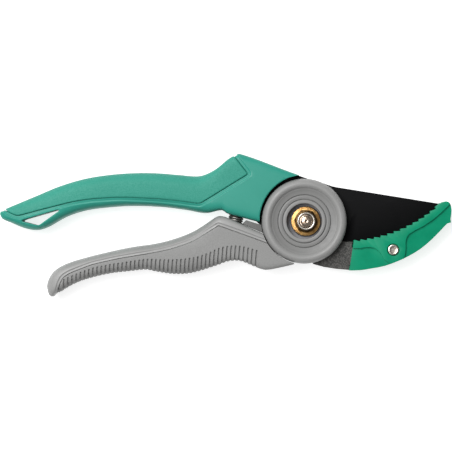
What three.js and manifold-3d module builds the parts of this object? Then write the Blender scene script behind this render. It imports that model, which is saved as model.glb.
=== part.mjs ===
// Anvil pruning shears, lying flat on the back of the pivot bolt.
// Millimetres. The pivot axis is Z, the blade tip points along +X, and the front face looks along +Z.
// z = 0 is the outer face of the pivot bolt's head.

import * as THREE from 'three';
import { mergeVertices } from 'three/addons/utils/BufferGeometryUtils.js';
import Module from 'manifold-3d';

const wasm = await Module();
wasm.setup();

// ---------- Clearances ----------

const GAP = 0.3; // between pieces that touch
const MOULD_GROOVE = 0.5; // line between a soft grip and its hard handle
const EPS = 0.05; // overlap of cutters that are stacked

// ---------- Driving dimensions ----------

const OPENING_ANGLE = 25; // degrees from closed jaws to the open stop

const BOLT_RADIUS = 3.0;
const BOLT_HEAD_RADIUS = 7.2;
const BOLT_HEAD_HEIGHT = 2.9;
const BOLT_END_HEIGHT = 0.7; // of the threaded end above the nut
const BUSHING_WALL = 1.3;
const WASHER_RADIUS = 8.0;
const WASHER_THICKNESS = 0.9;

const NUT_FLANGE_RADIUS = 7.0;
const NUT_FLANGE_THICKNESS = 1.5;
const NUT_ACROSS_FLATS = 10.0;
const NUT_HEIGHT = 4.7;
const NUT_TURN = -6; // degrees, as tightened
const INSERT_RADIUS = 4.3;
const INSERT_HEIGHT = 0.7;

const FRAME_THICKNESS = 3.0;
const BLADE_THICKNESS = 3.0;
const HUB_RADIUS = 19.0; // of the frame plate and of the blade's round hub
const RIM_RADIUS = 24.8; // of the blade's larger rim that carries the lock notches
const RIM_START = 107.6; // degrees round the pivot
const RIM_END = 178;

const COVER_RADIUS = 20.3;
const COVER_BORE = 8.5;
const COVER_OFFSET = -0.85; // the front cover sits slightly off the bolt along X
const HUB_THICKNESS = 19.0; // over both hub covers

const HANDLE_THICKNESS = 17.8;
const HANDLE_LENGTH = 103.7; // from the neck by the spring to the far end of the upper handle
const NECK_X = -43;
const DRAWN_LENGTH = 103.7; // handle length that the outline points below are drawn at
const GRIP_SKIN = 2.5; // wall of a soft grip over its core
const GRIP_SQUARENESS = 3.0; // power of the section's curve: 2 is an ellipse
const BODY_SQUARENESS = 8.0;
const BODY_ARC_RADIUS = 22.25; // hollow end of the upper handle round the hub

const EDGE_CENTRE = [19.2, 56.5]; // centre of the curved cutting line
const TOOTH_TIP_RADIUS = 65.5;
const TOOTH_COUNT = 14;
const TOOTH_DEPTH = 0.9;
const TOOTH_START = -86.67; // degrees round EDGE_CENTRE
const TOOTH_STEP = 2.872;
const CHANNEL_DEPTH = 2.1; // from the tooth tips to the face the blade closes on
const BEVEL_WIDTH = 15.0; // ground bevel behind the cutting edge
const EDGE_THICKNESS = 0.5;

const ANVIL_THICKNESS = 11.0;
const ANVIL_WALL = 2.2;
const ANVIL_FLOOR = 1.6;
const ANVIL_PANEL_DEPTH = 1.2;
const ANVIL_SCREW = [41.8, -13.7];
const SCREW_RADIUS = 1.5;
const SCREW_HEAD_RADIUS = 2.7;
const SCREW_HEAD_HEIGHT = 1.6;
const SCREW_NUT_FLATS = 5.5;

const SPRING_RADIUS = 3.65;
const SPRING_WIRE = 1.0;
const SPRING_CENTRE = [-33.6, 1.1];
const SPRING_LENGTH = 14;
const SPRING_AXIS = new THREE.Vector3(0.26, 0.97, 0).normalize();
const PEG_LENGTH = 3.5;

const LOCK_ANGLE = 153.5; // degrees round the pivot, the line the lock slides on
const LOCK_TRAVEL = 2.7;
const LOCK_WIDTH = 6.0;
const LOCK_STEM_WIDTH = 4.0;
const LOCK_BUTTON = [10.5, 8.6, 2.5]; // length, width, height
const NOTCH_FLOOR = 20.6; // radius of the closed notch's floor

// ---------- Heights that follow ----------

const FRAME_BACK = BOLT_HEAD_HEIGHT + GAP + WASHER_THICKNESS + GAP;
const FRAME_FRONT = FRAME_BACK + FRAME_THICKNESS;
const BLADE_BACK = FRAME_FRONT + 2 * GAP;
const BLADE_FRONT = BLADE_BACK + BLADE_THICKNESS;
const MIDDLE = (BLADE_BACK + BLADE_FRONT) / 2;
const WASHER_FRONT = BLADE_FRONT + GAP + WASHER_THICKNESS;
const NUT_BACK = WASHER_FRONT + GAP;
const NUT_FRONT = NUT_BACK + NUT_HEIGHT;
const BUSHING_RADIUS = BOLT_RADIUS + GAP + BUSHING_WALL;
const PIVOT_BORE = BUSHING_RADIUS + GAP;
const HANDLE_BACK = MIDDLE - HANDLE_THICKNESS / 2;
const COVER_FRONT = HUB_THICKNESS;
const NUT_WASHER_RADIUS = COVER_BORE + COVER_OFFSET - GAP;
const CHANNEL_BACK = BLADE_BACK - GAP;
const CHANNEL_FRONT = BLADE_FRONT + GAP;
const FLOOR_RADIUS = TOOTH_TIP_RADIUS + CHANNEL_DEPTH;
const CUTTING_RADIUS = FLOOR_RADIUS - GAP;
const ANVIL_BACK = MIDDLE - ANVIL_THICKNESS / 2;
const ANVIL_FRONT = MIDDLE + ANVIL_THICKNESS / 2;
const CORE_BACK = ANVIL_BACK + ANVIL_WALL + GAP;
const CORE_FRONT = ANVIL_FRONT - ANVIL_WALL - GAP;
const BELOW = -5; // safely under everything
const ABOVE = 30; // safely over everything

// ---------- Solids ----------

function solid(geometry) {
  const bare = geometry.clone();
  bare.deleteAttribute('normal');
  bare.deleteAttribute('uv');
  const merged = mergeVertices(bare, 1e-4);
  const vertProperties = new Float32Array(merged.attributes.position.array);
  const triVerts = new Uint32Array(merged.index.array);
  return new wasm.Manifold(new wasm.Mesh({ numProp: 3, vertProperties, triVerts }));
}

function geometryOf(body) {
  const mesh = body.getMesh();
  const geometry = new THREE.BufferGeometry();
  geometry.setAttribute('position', new THREE.BufferAttribute(new Float32Array(mesh.vertProperties), 3));
  geometry.setIndex(new THREE.BufferAttribute(new Uint32Array(mesh.triVerts), 1));
  return geometry;
}

function plate(shape, back, front) {
  const geometry = new THREE.ExtrudeGeometry(shape, {
    depth: front - back,
    bevelEnabled: false,
    curveSegments: 10,
  });
  geometry.translate(0, 0, back);
  return solid(geometry);
}

function polygon(points) {
  return new THREE.Shape(points.map(([x, y]) => new THREE.Vector2(x, y)));
}

function cylinder(radius, back, front, x = 0, y = 0, segments = 48) {
  const geometry = new THREE.CylinderGeometry(radius, radius, front - back, segments);
  geometry.rotateX(Math.PI / 2);
  geometry.translate(x, y, (back + front) / 2);
  return solid(geometry);
}

// A ring or a disc turned about Z, from [radius, z] points in anticlockwise order.
function turned(profile, segments = 48) {
  const closed = [...profile];
  if (profile[0][0] > 0) closed.push(profile[0]);
  const points = closed.map(([r, z]) => new THREE.Vector2(r, z));
  const geometry = new THREE.LatheGeometry(points, segments);
  geometry.rotateX(Math.PI / 2);
  return solid(geometry);
}

function hexagon(acrossFlats, turn, x = 0, y = 0) {
  const radius = acrossFlats / Math.sqrt(3);
  const corners = [];
  for (let i = 0; i < 6; i += 1) {
    const angle = THREE.MathUtils.degToRad(60 * i + turn);
    corners.push([x + radius * Math.cos(angle), y + radius * Math.sin(angle)]);
  }
  return polygon(corners);
}

function polar(radius, degrees, centre = [0, 0]) {
  const angle = THREE.MathUtils.degToRad(degrees);
  return [centre[0] + radius * Math.cos(angle), centre[1] + radius * Math.sin(angle)];
}

function arc(radius, from, to, steps, centre = [0, 0]) {
  const points = [];
  for (let i = 0; i <= steps; i += 1) {
    points.push(polar(radius, from + ((to - from) * i) / steps, centre));
  }
  return points;
}

// A sector between two radii and two angles round the pivot.
function sector(inner, outer, from, to) {
  return polygon([...arc(outer, from, to, 8), ...arc(inner, to, from, 8)]);
}

// Smooth points through hand-set ones.
function curve(points, steps) {
  const spline = new THREE.SplineCurve(points.map(([x, y]) => new THREE.Vector2(x, y)));
  return spline.getPoints(steps).map((p) => [p.x, p.y]);
}

// Moves a line of points sideways, to its left for a positive distance.
function shifted(points, distance) {
  return points.map(([x, y], i) => {
    const before = points[Math.max(0, i - 1)];
    const after = points[Math.min(points.length - 1, i + 1)];
    const dx = after[0] - before[0];
    const dy = after[1] - before[1];
    const length = Math.hypot(dx, dy);
    return [x - (dy / length) * distance, y + (dx / length) * distance];
  });
}

// Height of a smooth line through points with rising x.
function heightAt(points, x) {
  let i = 0;
  while (i < points.length - 2 && x > points[i + 1][0]) i += 1;
  const [x0, y0] = points[i];
  const [x1, y1] = points[i + 1];
  const slope = (a, b) => (b[1] - a[1]) / (b[0] - a[0]);
  const before = points[Math.max(0, i - 1)];
  const after = points[Math.min(points.length - 1, i + 2)];
  const m0 = slope(before, points[i + 1]);
  const m1 = slope(points[i], after);
  const span = x1 - x0;
  const t = THREE.MathUtils.clamp((x - x0) / span, 0, 1);
  const a = 2 * t ** 3 - 3 * t ** 2 + 1;
  const b = t ** 3 - 2 * t ** 2 + t;
  const c = -2 * t ** 3 + 3 * t ** 2;
  const d = t ** 3 - t ** 2;
  return a * y0 + b * span * m0 + c * y1 + d * span * m1;
}

// Outline points are drawn at DRAWN_LENGTH; past the neck they stretch with HANDLE_LENGTH.
function along(x) {
  if (x >= NECK_X) return x;
  return NECK_X + ((x - NECK_X) * HANDLE_LENGTH) / DRAWN_LENGTH;
}

function placed(points) {
  return points.map(([x, y]) => [along(x), y]);
}

// How square a handle's section is: round in the hand, boxy round the hub.
function squareness(x) {
  const t = THREE.MathUtils.smoothstep(x, NECK_X - 9, NECK_X + 9);
  return THREE.MathUtils.lerp(GRIP_SQUARENESS, BODY_SQUARENESS, t);
}

// A bar along X whose section is a rounded box between two edge lines.
function bar(high, low, half, ends, inset, stations) {
  const sides = 16;
  const rings = [];
  const first = ends[0] + inset;
  const last = ends[1] - inset;
  for (let i = 0; i <= stations; i += 1) {
    const x = first + ((last - first) * i) / stations;
    const top = heightAt(high, x);
    const bottom = heightAt(low, x);
    const middle = (top + bottom) / 2;
    const tall = Math.max((top - bottom) / 2 - inset, (top - bottom) / 8);
    const deep = heightAt(half, x) - inset;
    const ring = [];
    for (let k = 0; k < sides; k += 1) {
      const angle = (2 * Math.PI * (k + 0.5)) / sides;
      const c = Math.cos(angle);
      const s = Math.sin(angle);
      const power = 2 / squareness(x);
      const y = middle + tall * Math.sign(c) * Math.abs(c) ** power;
      const z = MIDDLE + deep * Math.sign(s) * Math.abs(s) ** power;
      ring.push([x, y, z]);
    }
    rings.push(ring);
  }
  return skin(rings);
}

// Joins closed rings of points into one solid with flat ends.
function skin(rings) {
  const sides = rings[0].length;
  const points = rings.flat();
  const faces = [];
  for (let i = 0; i < rings.length - 1; i += 1) {
    for (let k = 0; k < sides; k += 1) {
      const a = i * sides + k;
      const b = i * sides + ((k + 1) % sides);
      faces.push(a, b, b + sides, a, b + sides, a + sides);
    }
  }
  const end = (rings.length - 1) * sides;
  for (let k = 1; k < sides - 1; k += 1) {
    faces.push(0, k + 1, k);
    faces.push(end, end + k, end + k + 1);
  }
  const geometry = new THREE.BufferGeometry();
  geometry.setAttribute('position', new THREE.Float32BufferAttribute(points.flat(), 3));
  geometry.setIndex(faces);
  return solid(geometry);
}

// A box on the lock's sliding line, from radius to radius.
function radialBox(from, to, width, back, front) {
  const geometry = new THREE.BoxGeometry(to - from, width, front - back);
  geometry.translate((from + to) / 2, 0, (back + front) / 2);
  geometry.rotateZ(THREE.MathUtils.degToRad(LOCK_ANGLE));
  return solid(geometry);
}

// A turned piece whose own Z lies along the spring's axis, centred on the spring.
function onSpringAxis(body) {
  const geometry = geometryOf(body);
  const turn = new THREE.Quaternion().setFromUnitVectors(new THREE.Vector3(0, 0, 1), SPRING_AXIS);
  geometry.applyQuaternion(turn);
  geometry.translate(SPRING_CENTRE[0], SPRING_CENTRE[1], MIDDLE);
  return solid(geometry);
}

// ---------- Materials ----------

function finish(color, roughness, metalness) {
  return new THREE.MeshStandardMaterial({ color, roughness, metalness });
}

const FINISHES = {
  hardGreen: () => finish('#3a9a85', 0.3, 0),
  softGreen: () => finish('#47a38f', 0.7, 0),
  anvilGreen: () => finish('#1f9c77', 0.35, 0),
  hardGrey: () => finish('#9a9a98', 0.4, 0),
  softGrey: () => finish('#949492', 0.7, 0),
  darkGrey: () => finish('#4a4948', 0.8, 0.1),
  blackCoat: () => finish('#19191a', 0.45, 0.2),
  yellowZinc: () => finish('#be9a5c', 0.3, 1),
  brightSteel: () => finish('#c8c6c0', 0.25, 1),
  darkSteel: () => finish('#55524e', 0.45, 1),
  bronze: () => finish('#9a6b3c', 0.35, 1),
};

// ---------- Outlines ----------

const UPPER_TOP = placed([
  [-146.7, 4.9], [-141, 7.3], [-129.5, 12.1], [-117.9, 16.9], [-106.4, 20.3], [-94.9, 22.2],
  [-83.4, 23.1], [-71.9, 23.1], [-60.3, 22.2], [-53, 21.6], [-48.8, 22.2], [-43, 25.1],
  [-37.3, 29.7], [-34.4, 31.4], [-31.5, 32.3], [-7.5, 23.6], [0, 20.9],
]);
const UPPER_BOTTOM = placed([
  [-146.7, 2.3], [-145.4, 0.9], [-141, -0.9], [-135.2, -3.3], [-129, -4.3], [-123.7, -2.8], [-115, 2.0],
  [-106.4, 4.9], [-97.8, 6.3], [-83.4, 7.3], [-69, 6.8], [-57.5, 5.4], [-47.9, 3.9],
  [-40.2, 5.3], [-37.6, 3.7], [-30, 1.6], [-22.4, -0.4], [0, -6],
]);
const UPPER_HALF = placed([
  [-146.7, 4.5], [-143, 6.3], [-135, 7.4], [-115, 8.1], [-80, 8.4], [-50, 8.5],
  [-40, HANDLE_THICKNESS / 2], [0, HANDLE_THICKNESS / 2],
]);
const UPPER_PAD_LINE = placed([
  [-150, 8.8], [-144.2, 5.8], [-141, 3.8], [-137.9, 2.6], [-125.8, 5.8], [-111.5, 9.4],
  [-102.7, 10.7], [-89.1, 11.5], [-71.2, 10.7], [-60.1, 9.6], [-54.6, 8.8], [-50.8, 8.4],
  [-27.9, 22.5], [-41, 39.5],
]);
const HANGING_EYE = placed([
  [-136.1, 0.0], [-135.0, 0.7], [-118.6, 5.5], [-118.0, 5.0], [-127.4, -1.7], [-128.6, -2.0],
]);

const LOWER_TOP = placed([
  [-124.2, -30.0], [-123.6, -28.0], [-120.8, -23.9], [-115.1, -20.5], [-106.4, -17.7],
  [-94.9, -14.8], [-83.4, -12.4], [-71.9, -10.7], [-63.2, -8.5], [-54.6, -5.2], [-48.8, -1.8],
  [-43, 2.0], [-41, 2.5], [-37.3, 1.6], [-20.7, -5.8], [-4, -13],
]);
const LOWER_BOTTOM = placed([
  [-124.2, -32.5], [-123.4, -35.2], [-121.6, -36.3], [-117.9, -34], [-112.2, -30.6],
  [-106.4, -28.2], [-94.9, -25.3], [-83.4, -23.9], [-76.5, -23.3], [-71.9, -24.2],
  [-63.2, -25.4], [-54.6, -24.9], [-43, -21.4], [-37.3, -19.3], [-31.5, -19.1],
  [-22.9, -22.4], [-19, -23.3], [-11.4, -22], [-4, -20.2],
]);
const LOWER_HALF = placed([
  [-124.2, 4.0], [-121, 6.6], [-114, 7.8], [-95, 8.3], [-60, 8.5], [-43, HANDLE_THICKNESS / 2],
  [-4, HANDLE_THICKNESS / 2],
]);
const LOWER_PAD_LINE = placed([
  [-122.2, -44], [-120.2, -36], [-119.4, -32], [-118.7, -29.5], [-117, -26.2], [-113.7, -24],
  [-102.7, -19.6], [-89.1, -16.6], [-76.7, -14.6], [-65.7, -12.4], [-55.8, -9.1], [-49.2, -5.3],
  [-42, -0.9], [-32.6, -4.2], [-22.1, -8], [0, -16.5],
]);

const FRAME_TANG = placed([
  [-6, 9], [-18, 19.5], [-30, 20.0], [-42, 17.0], [-60, 16.6], [-78, 17.0],
  [-78, 12.5], [-60, 11.4], [-44, 10.4], [-38, 9.4], [-26, 9.4], [-9, 2],
]);
const BLADE_TANG = placed([
  [-9, -1], [-24.2, -7.5], [-38, -9], [-47, -10.5], [-60, -12.8], [-76, -15.2],
  [-76, -21], [-60, -20.4], [-44, -16.5], [-30, -15.5], [-16, -15.0], [-8, -9],
]);

// The outline of a cavity that leaves the same gap all round a piece's outline.
function grown(points, amount) {
  const outward = area(points) > 0 ? 1 : -1;
  return points.map((point, i) => {
    const before = points[(i + points.length - 1) % points.length];
    const after = points[(i + 1) % points.length];
    const one = normal(before, point, outward);
    const two = normal(point, after, outward);
    const sum = [one[0] + two[0], one[1] + two[1]];
    const scale = (2 * amount) / (sum[0] ** 2 + sum[1] ** 2);
    return [point[0] + sum[0] * scale, point[1] + sum[1] * scale];
  });
}

function normal(from, to, outward) {
  const dx = to[0] - from[0];
  const dy = to[1] - from[1];
  const length = Math.hypot(dx, dy);
  return [(dy / length) * outward, (-dx / length) * outward];
}

function area(points) {
  return points.reduce((sum, [x, y], i) => {
    const [u, v] = points[(i + 1) % points.length];
    return sum + (x * v - u * y) / 2;
  }, 0);
}

// ---------- Jaws ----------

const CORE_TOP_RADIUS = FLOOR_RADIUS + ANVIL_FLOOR + GAP;
const CARRIER_TOP = -9.9;
const ANVIL_FACE = [[22.8, -9.1], [20.9, -23.6]];

// Arm inside the anvil, under the channel floor.
function coreOutline() {
  const top = arc(CORE_TOP_RADIUS, -86, -57, 8, EDGE_CENTRE);
  return [[18, -12.2], ...top, [54.5, -7.5], [48.5, -12.8], [40, -17.6], [31, -20], [18, -21.2]];
}

function jawFrame() {
  const hub = cylinder(HUB_RADIUS, FRAME_BACK, FRAME_FRONT);
  const tang = plate(polygon(FRAME_TANG), FRAME_BACK, FRAME_FRONT);
  const shoulder = [
    [2, -12], [2, -18.5], [4, -20.7], [8.8, -22], [14.5, -22.9],
    [ANVIL_FACE[1][0] - GAP, ANVIL_FACE[1][1] + 0.2], [ANVIL_FACE[0][0] - GAP, CARRIER_TOP],
    [10, CARRIER_TOP],
  ];
  const carrier = plate(polygon(shoulder), FRAME_BACK, BLADE_FRONT)
    .add(plate(polygon(coreOutline()), CORE_BACK, BLADE_FRONT))
    .subtract(cylinder(HUB_RADIUS + 2 * GAP, FRAME_FRONT, ABOVE));
  const core = plate(polygon(coreOutline()), CORE_BACK, CORE_FRONT)
    .subtract(plate(polygon([[0, -30], [21.2, -30], [22.8, 0], [0, 0]]), BELOW, ABOVE));
  return hub
    .add(tang)
    .add(carrier)
    .add(core)
    .subtract(cylinder(PIVOT_BORE, BELOW, ABOVE))
    .subtract(cylinder(WASHER_RADIUS + GAP, BLADE_BACK - 2 * GAP - WASHER_THICKNESS, ABOVE))
    .subtract(cylinder(SCREW_RADIUS + GAP, BELOW, ABOVE, ...ANVIL_SCREW, 24))
    .subtract(stemSlot(GAP));
}

function teethLine() {
  const points = [];
  for (let i = 0; i < TOOTH_COUNT; i += 1) {
    const angle = TOOTH_START + TOOTH_STEP * i;
    points.push(polar(TOOTH_TIP_RADIUS + TOOTH_DEPTH, angle - TOOTH_STEP * 0.12, EDGE_CENTRE));
    points.push(polar(TOOTH_TIP_RADIUS, angle, EDGE_CENTRE));
    points.push(polar(TOOTH_TIP_RADIUS + TOOTH_DEPTH, angle + TOOTH_STEP * 0.8, EDGE_CENTRE));
  }
  return points.slice(1, -1);
}

function anvilOutline() {
  const nose = curve([
    [63.6, 8.1], [65.7, 9.1], [67.4, 9.5], [68.9, 8.7], [69.6, 7.2], [69.8, 4.3], [69.3, 1.0],
  ], 10);
  const spur = [[69.6, -0.6], [67.8, -1.1]];
  const belly = curve([
    [66.4, -2.5], [60.6, -8.5], [54.9, -13.3], [49.1, -16.8], [43.3, -19.4], [37.6, -21.5],
    [31.8, -22.6], [26.1, -23.5], [20.9, -23.6],
  ], 16);
  return [...teethLine(), ...nose, ...spur, ...belly];
}

// Recesses on the faces, each side of the boss round the screw.
function anvilPanels() {
  const leftEdge = curve([
    [26, -12.9], [29.5, -12.4], [32.4, -12.7], [34.6, -14.1], [36.3, -16.2], [37.7, -18.4],
    [40.4, -20.2], [44, -23],
  ], 10);
  const rightEdge = curve([
    [43.5, -23], [46.6, -18.8], [47.7, -14], [47.7, -10.1], [48.5, -7.4], [50.6, -5.3],
    [58.8, -0.8], [65.7, 5.0], [69, 8.4],
  ], 14);
  return [[[18, -13.0], ...leftEdge, [18, -28]], [...rightEdge, [76, 8.4], [76, -22]]];
}

function anvil() {
  const channel = [
    ...arc(FLOOR_RADIUS, -95, -44.5, 24, EDGE_CENTRE),
    ...arc(TOOTH_TIP_RADIUS - 9, -44.5, -95, 12, EDGE_CENTRE),
  ];
  const frontSeat = ANVIL_FRONT - ANVIL_PANEL_DEPTH;
  const backSeat = ANVIL_BACK + ANVIL_PANEL_DEPTH;
  let body = plate(polygon(anvilOutline()), ANVIL_BACK, ANVIL_FRONT)
    .subtract(plate(polygon(channel), CHANNEL_BACK, CHANNEL_FRONT))
    .subtract(plate(polygon(grown(coreOutline(), GAP)), CORE_BACK - GAP, CORE_FRONT + GAP))
    .subtract(cylinder(SCREW_RADIUS + GAP, BELOW, ABOVE, ...ANVIL_SCREW, 24))
    .subtract(cylinder(SCREW_HEAD_RADIUS + GAP, frontSeat, ABOVE, ...ANVIL_SCREW, 32))
    .subtract(cylinder(SCREW_HEAD_RADIUS + 2 * GAP, BELOW, backSeat, ...ANVIL_SCREW, 32));
  for (const panel of anvilPanels()) {
    body = body
      .subtract(plate(polygon(panel), frontSeat, ABOVE))
      .subtract(plate(polygon(panel), BELOW, backSeat));
  }
  return body;
}

function anvilScrew() {
  const under = ANVIL_FRONT - ANVIL_PANEL_DEPTH + GAP;
  const top = under + SCREW_HEAD_HEIGHT;
  const head = turned([
    [0, under - EPS], [SCREW_HEAD_RADIUS, under - EPS], [SCREW_HEAD_RADIUS, top - 0.5],
    [SCREW_HEAD_RADIUS - 0.5, top], [0, top],
  ], 32);
  const shank = cylinder(SCREW_RADIUS, ANVIL_BACK - 0.6, under, 0, 0, 24);
  const socket = plate(hexagon(2.5, 0), top - 1.0, ABOVE);
  return head.add(shank).subtract(socket).translate(...ANVIL_SCREW, 0);
}

function anvilNut() {
  const front = ANVIL_BACK + ANVIL_PANEL_DEPTH - GAP;
  return plate(hexagon(SCREW_NUT_FLATS - 0.6, 0), front - 1.9, front)
    .subtract(cylinder(SCREW_RADIUS + GAP, BELOW, ABOVE, 0, 0, 24))
    .translate(...ANVIL_SCREW, 0);
}

function bladeOutline() {
  const edge = arc(CUTTING_RADIUS, -86.2, -46.2, 20, EDGE_CENTRE);
  const hubTurn = arc(HUB_RADIUS, -110, -30.3, 10);
  const back = curve([[14.5, 16.4], [11.7, 17.1], [8.8, 18.2], [3, 19.8], [-2.7, 21.7]], 6);
  const heel = [ANVIL_FACE[0][0], CARRIER_TOP + GAP];
  return [...hubTurn, heel, ...edge, [65.8, 8.2], ...back];
}

function blade() {
  const rim = arc(RIM_RADIUS, RIM_START, RIM_END, 12);
  const outline = [...bladeOutline(), ...rim, [-18, -5], [-14, -12]];
  let body = plate(polygon(outline), BLADE_BACK, BLADE_FRONT)
    .add(cylinder(HUB_RADIUS, BLADE_BACK, BLADE_FRONT))
    .add(plate(polygon(BLADE_TANG), BLADE_BACK, BLADE_FRONT))
    .subtract(cylinder(PIVOT_BORE, BELOW, ABOVE));
  const halfNotch = THREE.MathUtils.radToDeg((LOCK_WIDTH / 2 + 2 * GAP) / RIM_RADIUS);
  const nose = RIM_RADIUS + 2 * GAP - LOCK_TRAVEL;
  const closed = sector(NOTCH_FLOOR, RIM_RADIUS + 3, LOCK_ANGLE - halfNotch, LOCK_ANGLE + halfNotch);
  const opened = sector(
    nose - 2 * GAP, RIM_RADIUS + 3,
    LOCK_ANGLE - OPENING_ANGLE - halfNotch, LOCK_ANGLE - OPENING_ANGLE + halfNotch,
  );
  body = body
    .subtract(plate(closed, BELOW, ABOVE))
    .subtract(plate(opened, BELOW, ABOVE));
  return body.subtract(bevelCutter());
}

// Takes both faces down to the cutting edge along its arc.
function bevelCutter() {
  const outer = CUTTING_RADIUS + 3;
  const inner = CUTTING_RADIUS - BEVEL_WIDTH;
  const low = MIDDLE - EDGE_THICKNESS / 2;
  const high = MIDDLE + EDGE_THICKNESS / 2;
  const front = turned([
    [inner, BLADE_FRONT], [CUTTING_RADIUS, high], [outer, high], [outer, ABOVE], [inner, ABOVE],
  ], 160);
  const back = turned([
    [inner, BELOW], [outer, BELOW], [outer, low], [CUTTING_RADIUS, low], [inner, BLADE_BACK],
  ], 160);
  const heel = [[27, 13], [23.4, 4.8], [20.3, -2.2], [17.5, -9]];
  const reach = plate(polygon([[17.5, -30], [90, -30], [90, 13], ...heel]), BELOW - 1, ABOVE + 1);
  return front.add(back).translate(...EDGE_CENTRE, 0).intersect(reach);
}

// ---------- Lock ----------

const LOCK_NOSE = RIM_RADIUS + 2 * GAP;
const STEM_FROM = 31.2;
const STEM_TO = 35.2;
const BUTTON_FROM = 28.5;
const BUTTON_BACK = HANDLE_BACK - GAP;

function stemSlot(gap) {
  return radialBox(STEM_FROM - LOCK_TRAVEL - gap, STEM_TO + gap, LOCK_STEM_WIDTH + 2 * gap, BELOW, MIDDLE);
}

function lockSlider() {
  const [length, width, height] = LOCK_BUTTON;
  const nose = radialBox(LOCK_NOSE, STEM_TO, LOCK_WIDTH, BLADE_BACK + GAP / 3, BLADE_FRONT - GAP / 3);
  const stem = radialBox(STEM_FROM, STEM_TO, LOCK_STEM_WIDTH, BUTTON_BACK + 1, MIDDLE);
  let button = radialBox(BUTTON_FROM, BUTTON_FROM + length, width, BUTTON_BACK, BUTTON_BACK + height);
  for (let i = 0; i < 4; i += 1) {
    const at = BUTTON_FROM + 1.6 + 2.1 * i;
    button = button.subtract(radialBox(at, at + 1.0, width + 2, BELOW, BUTTON_BACK + 0.6));
  }
  return nose.add(stem).add(button);
}

function lockRoom() {
  const [length, width, height] = LOCK_BUTTON;
  const pocket = radialBox(
    BUTTON_FROM - LOCK_TRAVEL - GAP, BUTTON_FROM + length + GAP, width + 2 * GAP,
    BELOW, BUTTON_BACK + height + GAP,
  );
  const guide = radialBox(
    BODY_ARC_RADIUS - 2, STEM_TO + GAP, LOCK_WIDTH + 2 * GAP, CHANNEL_BACK, CHANNEL_FRONT,
  );
  return pocket.add(guide).add(stemSlot(GAP));
}

// ---------- Spring and its seats ----------

function spring() {
  const inner = SPRING_RADIUS - SPRING_WIRE;
  const half = SPRING_LENGTH / 2;
  const wall = [[inner, -half], [SPRING_RADIUS, -half], [SPRING_RADIUS, half], [inner, half]];
  return onSpringAxis(turned(wall, 24));
}

// side is 1 for the seat in the upper handle and -1 for the one in the lower handle.
function springRoom(side) {
  const half = SPRING_LENGTH / 2 + GAP;
  const room = side > 0 ? [0, half] : [-half, 0];
  const outer = SPRING_RADIUS + 2 * GAP;
  return onSpringAxis(cylinder(outer, room[0], room[1], 0, 0, 24));
}

function springPeg(side) {
  const half = SPRING_LENGTH / 2 + GAP;
  const radius = SPRING_RADIUS - SPRING_WIRE - 2 * GAP;
  const range = side > 0 ? [half - PEG_LENGTH, half + 1] : [-half - 1, PEG_LENGTH - half];
  return onSpringAxis(cylinder(radius, range[0], range[1], 0, 0, 16));
}

// ---------- Handles ----------

const SKIN = GRIP_SKIN + GAP;
const UPPER_ENDS = [along(-146.7), -0.5];
const LOWER_ENDS = [along(-124.2), -5.8];
const UPPER_STATIONS = 26;
const LOWER_STATIONS = 24;

function upperBar(inset) {
  return bar(UPPER_TOP, UPPER_BOTTOM, UPPER_HALF, UPPER_ENDS, inset, UPPER_STATIONS);
}

function lowerBar(inset) {
  return bar(LOWER_TOP, LOWER_BOTTOM, LOWER_HALF, LOWER_ENDS, inset, LOWER_STATIONS);
}

// All that lies on one side of a grip's edge line.
function upperPad(shift) {
  const line = shifted(UPPER_PAD_LINE, shift);
  return plate(polygon([...line, [along(-160), 45], [along(-160), line[0][1]]]), BELOW, ABOVE);
}

function lowerPad(shift) {
  const line = shifted(LOWER_PAD_LINE, -shift);
  return plate(polygon([...line, [0, -50], [line[0][0], -50]]), BELOW, ABOVE);
}

function upperCuts() {
  return cylinder(BODY_ARC_RADIUS, BELOW, ABOVE, 0, 0, 56)
    .add(cylinder(RIM_RADIUS + 2 * GAP, CHANNEL_BACK, CHANNEL_FRONT, 0, 0, 56))
    .add(plate(polygon(grown(FRAME_TANG, GAP)), FRAME_BACK - GAP, FRAME_FRONT + GAP))
    .add(springRoom(1))
    .add(lockRoom());
}

function upperHandle() {
  const rail = upperBar(0).subtract(upperPad(-MOULD_GROOVE / 2));
  return rail
    .add(upperBar(SKIN))
    .subtract(plate(polygon(HANGING_EYE), BELOW, ABOVE))
    .subtract(upperCuts())
    .add(springPeg(1));
}

function upperGrip() {
  return upperBar(0)
    .intersect(upperPad(MOULD_GROOVE / 2))
    .subtract(upperBar(GRIP_SKIN))
    .subtract(lockRoom());
}

function lowerCuts() {
  const plane = RIM_RADIUS + GAP;
  const backRoom = Math.max(COVER_RADIUS, HUB_RADIUS) + 2 * GAP;
  return cylinder(backRoom, BELOW, CHANNEL_BACK + EPS, 0, 0, 56)
    .add(cylinder(plane, CHANNEL_BACK, CHANNEL_FRONT, 0, 0, 56))
    .add(cylinder(COVER_RADIUS + GAP, CHANNEL_FRONT - EPS, ABOVE, COVER_OFFSET, 0, 56))
    .add(plate(polygon(grown(BLADE_TANG, GAP)), CHANNEL_BACK, CHANNEL_FRONT))
    .add(springRoom(-1))
    .add(plate(polygon(BUMPER_SEAT), BELOW, ABOVE));
}

function lowerHandle() {
  const rail = lowerBar(0).subtract(lowerPad(-MOULD_GROOVE / 2));
  return rail
    .add(lowerBar(SKIN))
    .subtract(lowerCuts())
    .add(springPeg(-1));
}

function lowerGrip() {
  return lowerBar(0)
    .intersect(lowerPad(MOULD_GROOVE / 2))
    .subtract(lowerBar(GRIP_SKIN))
    .subtract(lowerCuts());
}

// ---------- Closing bumper ----------

const BUMPER = [[-30.4, -1.2], [-28.6, 0.5], [-17, -3.1], [-17, -7.0]];
const BUMPER_SEAT = grown(BUMPER, GAP);
const BUMPER_HALF = 5.5;

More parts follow.
